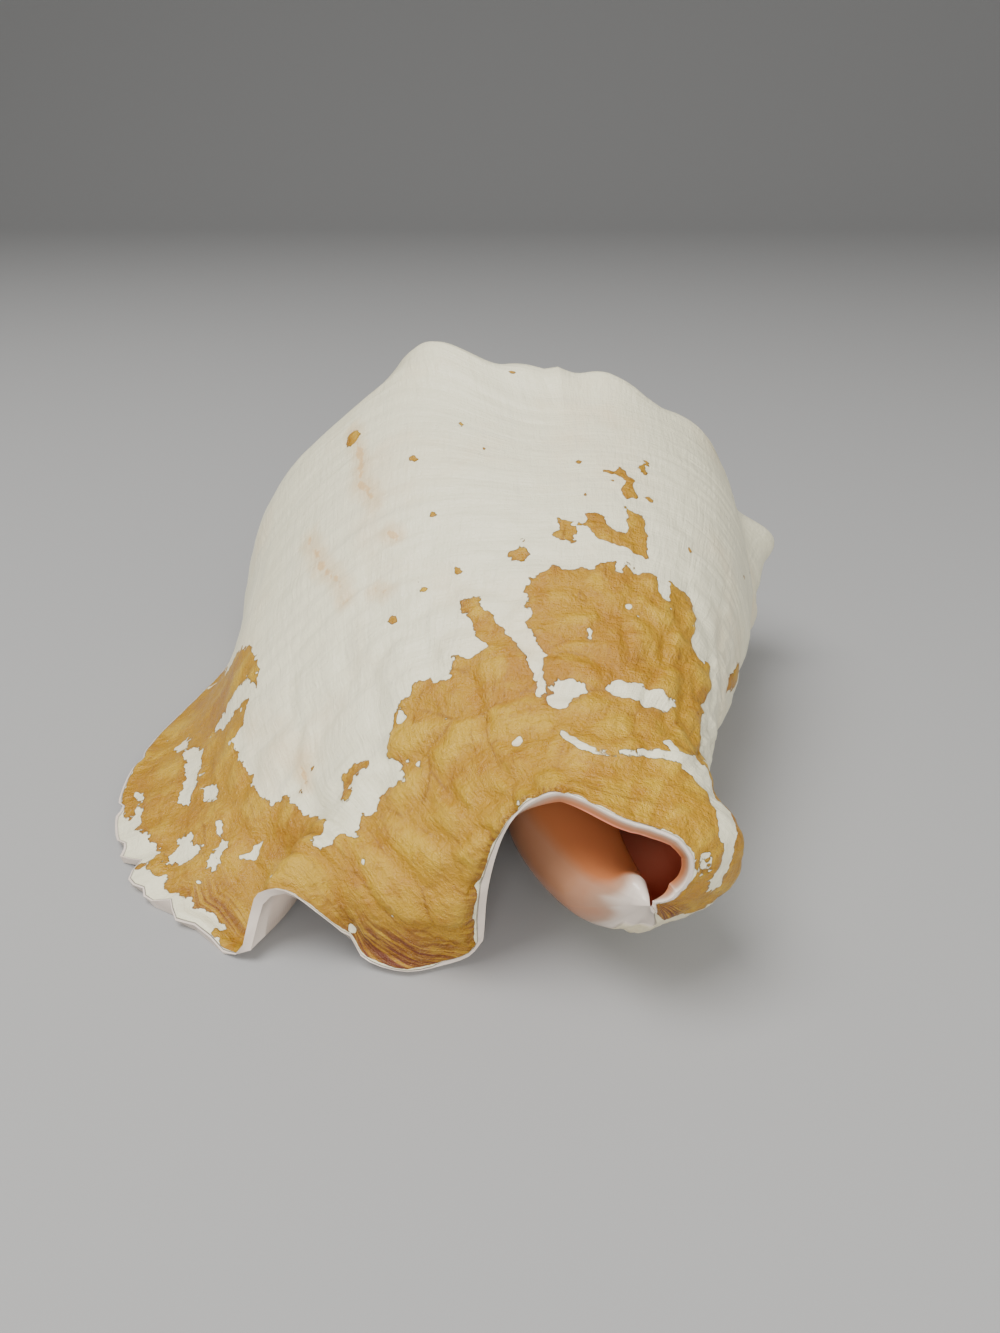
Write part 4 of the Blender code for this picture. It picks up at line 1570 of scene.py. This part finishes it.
@dataclass(frozen=True)
class OchreSkin:
    """Thin ochre outer skin, mottled in waves and flaking at its edges, with a painted sheen on the crests of
    its swollen cells and painted shade in the creases between them.
    """

    base: tuple = (0.45, 0.230, 0.008, 1)
    # Paler ochre: the skin's own scratches and mottling, and a painted sheen on the crests of the swollen
    # cells.
    light: tuple = (0.58, 0.350, 0.020, 1)
    amber: tuple = (0.39, 0.168, 0.007, 1)
    # Dark brown of the growth lines, crackle and skin edge, also used as painted shade in the creases between
    # the swollen cells.
    dark: tuple = (0.20, 0.070, 0.007, 1)
    stain: tuple = (0.14, 0.030, 0.006, 1)
    crumbs: tuple = (520.0, 2.0, 0.6)
    crumb_shift_mm: float = 1.4
    edge_step_mm: tuple = (-0.06, 0.10)
    flecks: tuple = (150.0, 2.0, 0.5)
    fleck_step: tuple = (0.712, 0.70)
    ridge_crumb_shift_mm: float = 1.2
    ridge_step_mm: tuple = (-0.06, 0.12)
    mottle: tuple = (75.0, 4.0, 0.65)
    front_step_mm: tuple = (105.0, 140.0)
    cell_step: tuple = (0.3, 0.8)
    # Painted sheen: the crests of the swollen cells are painted paler.
    cell_sheen_step: tuple = (0.2, 0.7)
    crest_step: tuple = (0.35, 0.9)
    pale_step: tuple = (0.36, 0.60)
    pale_sheen_share: float = 0.85
    amber_step: tuple = (0.52, 0.36)
    amber_share: float = 0.8
    # Painted shade: the creases between the swollen cells are painted dark.
    crease_shade_step: tuple = (0.06, 0.0)
    crease_places: tuple = (0.12, 0.12, 14.0, 2.0)
    crease_place_step: tuple = (0.46, 0.62)
    crease_share: float = 0.55
    streaks: tuple = (0.7, 0.12, 2.0)
    streak_step: tuple = (0.54, 0.75)
    streak_share: float = 0.6
    crackle: tuple = (420.0, 4.0, 0.7)
    crackle_step: tuple = (0.56, 0.72)
    crackle_share: float = 0.3
    scratches: tuple = (0.9, 0.16, 17.0)
    scratch_step: tuple = (0.62, 0.76)
    scratch_share: float = 0.55
    rim_step_mm: tuple = (0.55, 0.0)
    rim_share: float = 0.4
    blots: tuple = (0.75, 0.14, 9.0, 5.0, 0.7)
    blot_step: tuple = (0.41, 0.56)
    stain_step: tuple = (0.05, 0.7)

    def mask(self, desk: NodeDesk) -> Socket:
        """1 on the skin, with a crisp ragged edge and small bare flecks.

        Args:
            desk: Desk of the material.

        Returns:
            A value socket.
        """
        place = desk.place()
        fine = desk.noise(place, *self.crumbs)
        edge = desk.scaled(desk.centred(fine), self.crumb_shift_mm, PATTERNS.skin_edge(desk))
        flecks = desk.step(desk.noise(place, *self.flecks), *self.fleck_step)
        ridge = desk.scaled(desk.centred(fine), self.ridge_crumb_shift_mm, desk.value("ridge"))
        flecks = desk.times(flecks, desk.step(ridge, *self.ridge_step_mm))
        return desk.times(desk.step(edge, *self.edge_step_mm), flecks)

    def ground(self, desk: NodeDesk, front: Socket) -> Socket:
        """Colour of the swollen cells, before lines and stains: paler on their crests, partly real paler
        mottling and partly a painted sheen.

        Args:
            desk: Desk of the material.
            front: 1 on the front, away from the canal's rim.

        Returns:
            A colour socket.
        """
        waves = PATTERNS.waves(desk)
        mottle = desk.noise(desk.place(), *self.mottle)
        cell = PATTERNS.cells(desk, "F1").outputs["Color"]
        cell = desk.times(desk.step(cell, *self.cell_step), front)
        # Painted sheen: paler where the cells swell up, mixed with the real paler mottle.
        pale = desk.times(desk.step(waves, *self.crest_step), desk.step(mottle, *self.pale_step))
        pale = desk.math("MAXIMUM", pale, desk.times(cell, desk.step(waves, *self.cell_sheen_step)))
        colour = desk.mix(desk.times(pale, self.pale_sheen_share), self.base, self.light)
        amber = desk.times(desk.step(mottle, *self.amber_step), self.amber_share)
        return desk.mix(amber, colour, self.amber)

    def colour(self, desk: NodeDesk) -> Socket:
        """Colour of the skin.

        Args:
            desk: Desk of the material.

        Returns:
            A colour socket.
        """
        front = desk.step(desk.value("across"), *self.front_step_mm)
        front = desk.times(front, PATTERNS.off_canal(desk))
        colour = self.ground(desk, front)
        # Painted shade in the creases between the swollen cells, joined below with the real dark growth
        # lines.
        edge = PATTERNS.cells(desk, "DISTANCE_TO_EDGE").outputs["Distance"]
        faint = desk.step(desk.drawn(*self.crease_places), *self.crease_place_step)
        creases = desk.times(desk.times(desk.step(edge, *self.crease_shade_step), faint), front)
        lines = desk.step(PATTERNS.lines(desk, *self.streaks), *self.streak_step)
        lines = desk.times(lines, self.streak_share)
        lines = desk.math("MAXIMUM", lines, desk.times(creases, self.crease_share))
        colour = desk.mix(lines, colour, self.dark)
        crackle = desk.step(desk.noise(desk.place(), *self.crackle), *self.crackle_step)
        colour = desk.mix(desk.times(crackle, self.crackle_share), colour, self.dark)
        scratches = desk.step(PATTERNS.lines(desk, *self.scratches), *self.scratch_step)
        colour = desk.mix(desk.times(scratches, self.scratch_share), colour, self.light)
        rim = desk.step(PATTERNS.skin_edge(desk), *self.rim_step_mm)
        colour = desk.mix(desk.times(rim, self.rim_share), colour, self.dark)
        blots = desk.step(desk.drawn(*self.blots), *self.blot_step)
        amount = desk.times(desk.step(desk.value("stain"), *self.stain_step), blots)
        return desk.mix(amount, colour, self.stain)


@dataclass(frozen=True)
class Nacre:
    """Glossy lining, pinkish white at the rims and red-brown deep inside. Blush and orange are darker than
    their own tone, as painted shade for the core under the canal's arch, and the deep red is brighter than
    its own tone, as painted light deep in the hollow.
    """

    rim: tuple = (0.76, 0.65, 0.55, 1)
    # Blush and orange are darker than their own tone: partly painted shade for the core under the canal's
    # arch.
    blush: tuple = (0.46, 0.265, 0.165, 1)
    orange: tuple = (0.45, 0.155, 0.058, 1)
    # Deep red, brighter than its own tone: painted light deep in the hollow, where little light reaches.
    deep: tuple = (0.92, 0.29, 0.17, 1)
    waves: tuple = (0.05, 0.03, 4.0, 3.0)
    wave_share: float = 0.14
    blush_step: tuple = (0.02, 0.3)
    orange_step: tuple = (0.22, 0.65)
    deep_step: tuple = (0.72, 1.0)

    def colour(self, desk: NodeDesk) -> Socket:
        """Colour of the lining by its depth.

        Args:
            desk: Desk of the material.

        Returns:
            A colour socket.
        """
        wave = desk.centred(desk.drawn(*self.waves))
        depth = desk.scaled(wave, self.wave_share, desk.value("deep"))
        colour = desk.mix(desk.step(depth, *self.blush_step), self.rim, self.blush)
        colour = desk.mix(desk.step(depth, *self.orange_step), colour, self.orange)
        return desk.mix(desk.step(depth, *self.deep_step), colour, self.deep)


@dataclass(frozen=True)
class ShellFinish:
    """The shell's one material, blended from its three finishes."""

    ivory: Ivory = Ivory()
    skin: OchreSkin = OchreSkin()
    nacre: Nacre = Nacre()
    glossy_step: tuple = (0.35, 0.65)
    glossy_roughness: tuple = (0.13, 0.13, 0.13, 1)
    bare_wear: tuple = (95.0, 4.0, 0.65)
    skin_wear: tuple = (300.0, 3.0, 0.6)
    roughness: tuple = (0.5, 0.12)
    grain: tuple = (900.0, 3.0, 0.6)
    lines: tuple = (0.8, 0.12, 2.0)
    cords: tuple = (0.05, 0.55, 6.0, 4.0, 0.65)
    wrinkles: tuple = (420.0, 4.0, 0.7)
    line_height: float = 0.45
    cord_height: float = 0.5
    wrinkle_height: tuple = (1.0, 0.25)
    grain_height: float = 0.10
    skin_height: float = 0.35
    bump_distance: float = 0.0009

    def build(self) -> bpy.types.Material:
        """Builds the material, with colour, roughness and bump from its nodes.

        Returns:
            The material.
        """
        material = bpy.data.materials.new("conch_shell_surface")
        material.use_nodes = True
        desk = NodeDesk(material.node_tree)
        shader = material.node_tree.nodes["Principled BSDF"]
        mask = self.skin.mask(desk)
        glossy = desk.step(desk.value("nacre"), *self.glossy_step)
        colour = desk.mix(mask, self.ivory.colour(desk), self.skin.colour(desk))
        colour = desk.mix(glossy, colour, self.nacre.colour(desk))
        rough = desk.mix(mask, self.wear(desk, self.bare_wear), self.wear(desk, self.skin_wear))
        rough = desk.mix(glossy, rough, self.glossy_roughness)
        desk.feed(shader.inputs["Base Color"], colour)
        desk.feed(shader.inputs["Roughness"], rough)
        desk.feed(shader.inputs["Normal"], self.bumps(desk, mask, glossy))
        return material

    def wear(self, desk: NodeDesk, noise: tuple) -> Socket:
        """Uneven roughness as a grey colour.

        Args:
            desk: Desk of the material.
            noise: Cycles per metre, detail and roughness of the noise.

        Returns:
            A colour socket.
        """
        value = desk.scaled(desk.noise(desk.place(), *noise), *self.roughness)
        return desk.add("ShaderNodeCombineColor", {0: value, 1: value, 2: value}).outputs[0]

    def bumps(self, desk: NodeDesk, mask: Socket, glossy: Socket) -> Socket:
        """Fine relief: growth lines, skin edge, wrinkles and grain.

        Args:
            desk: Desk of the material.
            mask: 1 on the ochre skin.
            glossy: 1 on the nacre.

        Returns:
            A normal socket.
        """
        cords = desk.times(desk.drawn(*self.cords), self.cord_height)
        height = desk.scaled(PATTERNS.lines(desk, *self.lines), self.line_height, cords)
        wrinkles = desk.noise(desk.place(), *self.wrinkles)
        height = desk.scaled(wrinkles, desk.scaled(mask, *self.wrinkle_height), height)
        height = desk.scaled(desk.noise(desk.place(), *self.grain), self.grain_height, height)
        height = desk.scaled(mask, self.skin_height, height)
        height = desk.times(height, desk.rest(glossy))
        bump_node = desk.add("ShaderNodeBump", {"Strength": 1.0, "Distance": self.bump_distance,
                                                "Height": height})
        return bump_node.outputs[0]


@dataclass
class Shell:
    """The shell as one piece that stands for the solid."""

    skin: ShellSkin = field(default_factory=ShellSkin)
    relief: Relief = field(default_factory=Relief)
    finish: ShellFinish = field(default_factory=ShellFinish)

    def build(self) -> bpy.types.Object:
        """Builds, dresses and places the shell.

        Returns:
            The shell's object.
        """
        material = self.finish.build()
        mesh = self.skin.mesh()
        mesh.materials.append(material)
        piece = place_in_scene("conch_shell_surface", mesh)
        self.relief.apply(piece, material)
        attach(piece, "root")
        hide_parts("conch_shell")
        return piece


@dataclass(frozen=True)
class Lamp:
    """A soft square light: where it hangs and looks, its side in metres and its watts."""

    name: str
    place: tuple
    aim: tuple
    size: float
    power: float

    def build(self) -> bpy.types.Object:
        """Hangs the light and turns it to its aim.

        Returns:
            The light's object.
        """
        data = bpy.data.lights.new(self.name, "AREA")
        data.shape = "SQUARE"
        data.size = self.size
        data.energy = self.power
        lamp = place_in_scene(self.name, data)
        lamp.location = self.place
        toward = np.subtract(self.aim, self.place)
        flat = math.hypot(toward[0], toward[1])
        lamp.rotation_euler = (math.atan2(flat, -toward[2]), 0, math.atan2(-toward[0], toward[1]))
        return lamp


@dataclass(frozen=True)
class Studio:
    """Plain pale floor, soft lights and the camera at the photograph's angle."""

    camera_place: tuple = (0.0064, -0.26077, 0.1597)
    pitch: float = 28.0
    lens: float = 27.03
    sensor: float = 36.0
    nearest_seen: float = 0.01
    floor_size: float = 6.0
    floor_bend: float = 1.2
    floor_bend_steps: int = 17
    wall_height: float = 3.0
    floor_colour: tuple = (0.36, 0.355, 0.347, 1)
    floor_roughness: float = 0.9
    world_colour: tuple = (0.66, 0.665, 0.67, 1)
    world_strength: float = 0.6
    lamps: tuple = (
        Lamp("key", (-0.45, -0.2, 1.3), (0, 0, 0.05), 0.8, 21.0),
        Lamp("fill", (0.7, -0.9, 0.8), (0, 0, 0.05), 1.0, 4.0),
        Lamp("front", (0.03, -0.75, 0.36), (0.02, -0.05, 0.03), 0.35, 3.6),
    )

    def floor(self) -> bpy.types.Object:
        """Plain floor that sweeps up into a plain wall far behind.

        Returns:
            The floor's object.
        """
        half, bend = self.floor_size / 2, self.floor_bend
        turns = np.linspace(0, math.pi / 2, self.floor_bend_steps)
        curved = [(half - bend + bend * math.sin(turn), bend * (1 - math.cos(turn))) for turn in turns]
        steps = [(-half, 0.0)] + curved + [(half, self.wall_height)]
        points = [(x, float(y), float(z)) for y, z in steps for x in (-half, half)]
        faces = [(2 * k, 2 * k + 1, 2 * k + 3, 2 * k + 2) for k in range(len(steps) - 1)]
        mesh = bpy.data.meshes.new("floor")
        mesh.from_pydata(points, [], faces)
        mesh.polygons.foreach_set("use_smooth", [True] * len(faces))
        material = bpy.data.materials.new("floor_pale")
        material.use_nodes = True
        shader = material.node_tree.nodes["Principled BSDF"]
        shader.inputs["Base Color"].default_value = self.floor_colour
        shader.inputs["Roughness"].default_value = self.floor_roughness
        mesh.materials.append(material)
        piece = place_in_scene("floor", mesh)
        return piece

    def camera(self) -> bpy.types.Object:
        """Camera at the photograph's angle.

        Returns:
            The camera's object.
        """
        data = bpy.data.cameras.new("camera")
        data.lens = self.lens
        data.sensor_width = self.sensor
        data.sensor_fit = "AUTO"
        data.clip_start = self.nearest_seen
        eye = place_in_scene("camera", data)
        eye.location = self.camera_place
        eye.rotation_euler = (math.radians(90.0 - self.pitch), 0, 0)
        bpy.context.scene.camera = eye
        return eye

    def world(self) -> None:
        """Even soft light from all around."""
        world = bpy.data.worlds.new("studio")
        world.use_nodes = True
        sky = world.node_tree.nodes["Background"]
        sky.inputs["Color"].default_value = self.world_colour
        sky.inputs["Strength"].default_value = self.world_strength
        bpy.context.scene.world = world

    def build(self) -> None:
        """Sets up the whole studio."""
        self.floor()
        self.world()
        for lamp in self.lamps:
            lamp.build()
        self.camera()


def main() -> None:
    """Builds the shell and the studio and logs what was built."""
    logging.basicConfig(level=logging.INFO, format="%(message)s")
    shell = Shell().build()
    LOG.info("shell: %d vertices, %d faces", len(shell.data.vertices), len(shell.data.polygons))
    Studio().build()
    LOG.info("studio: floor, three lights and camera")


if __name__ == "__main__":
    main()
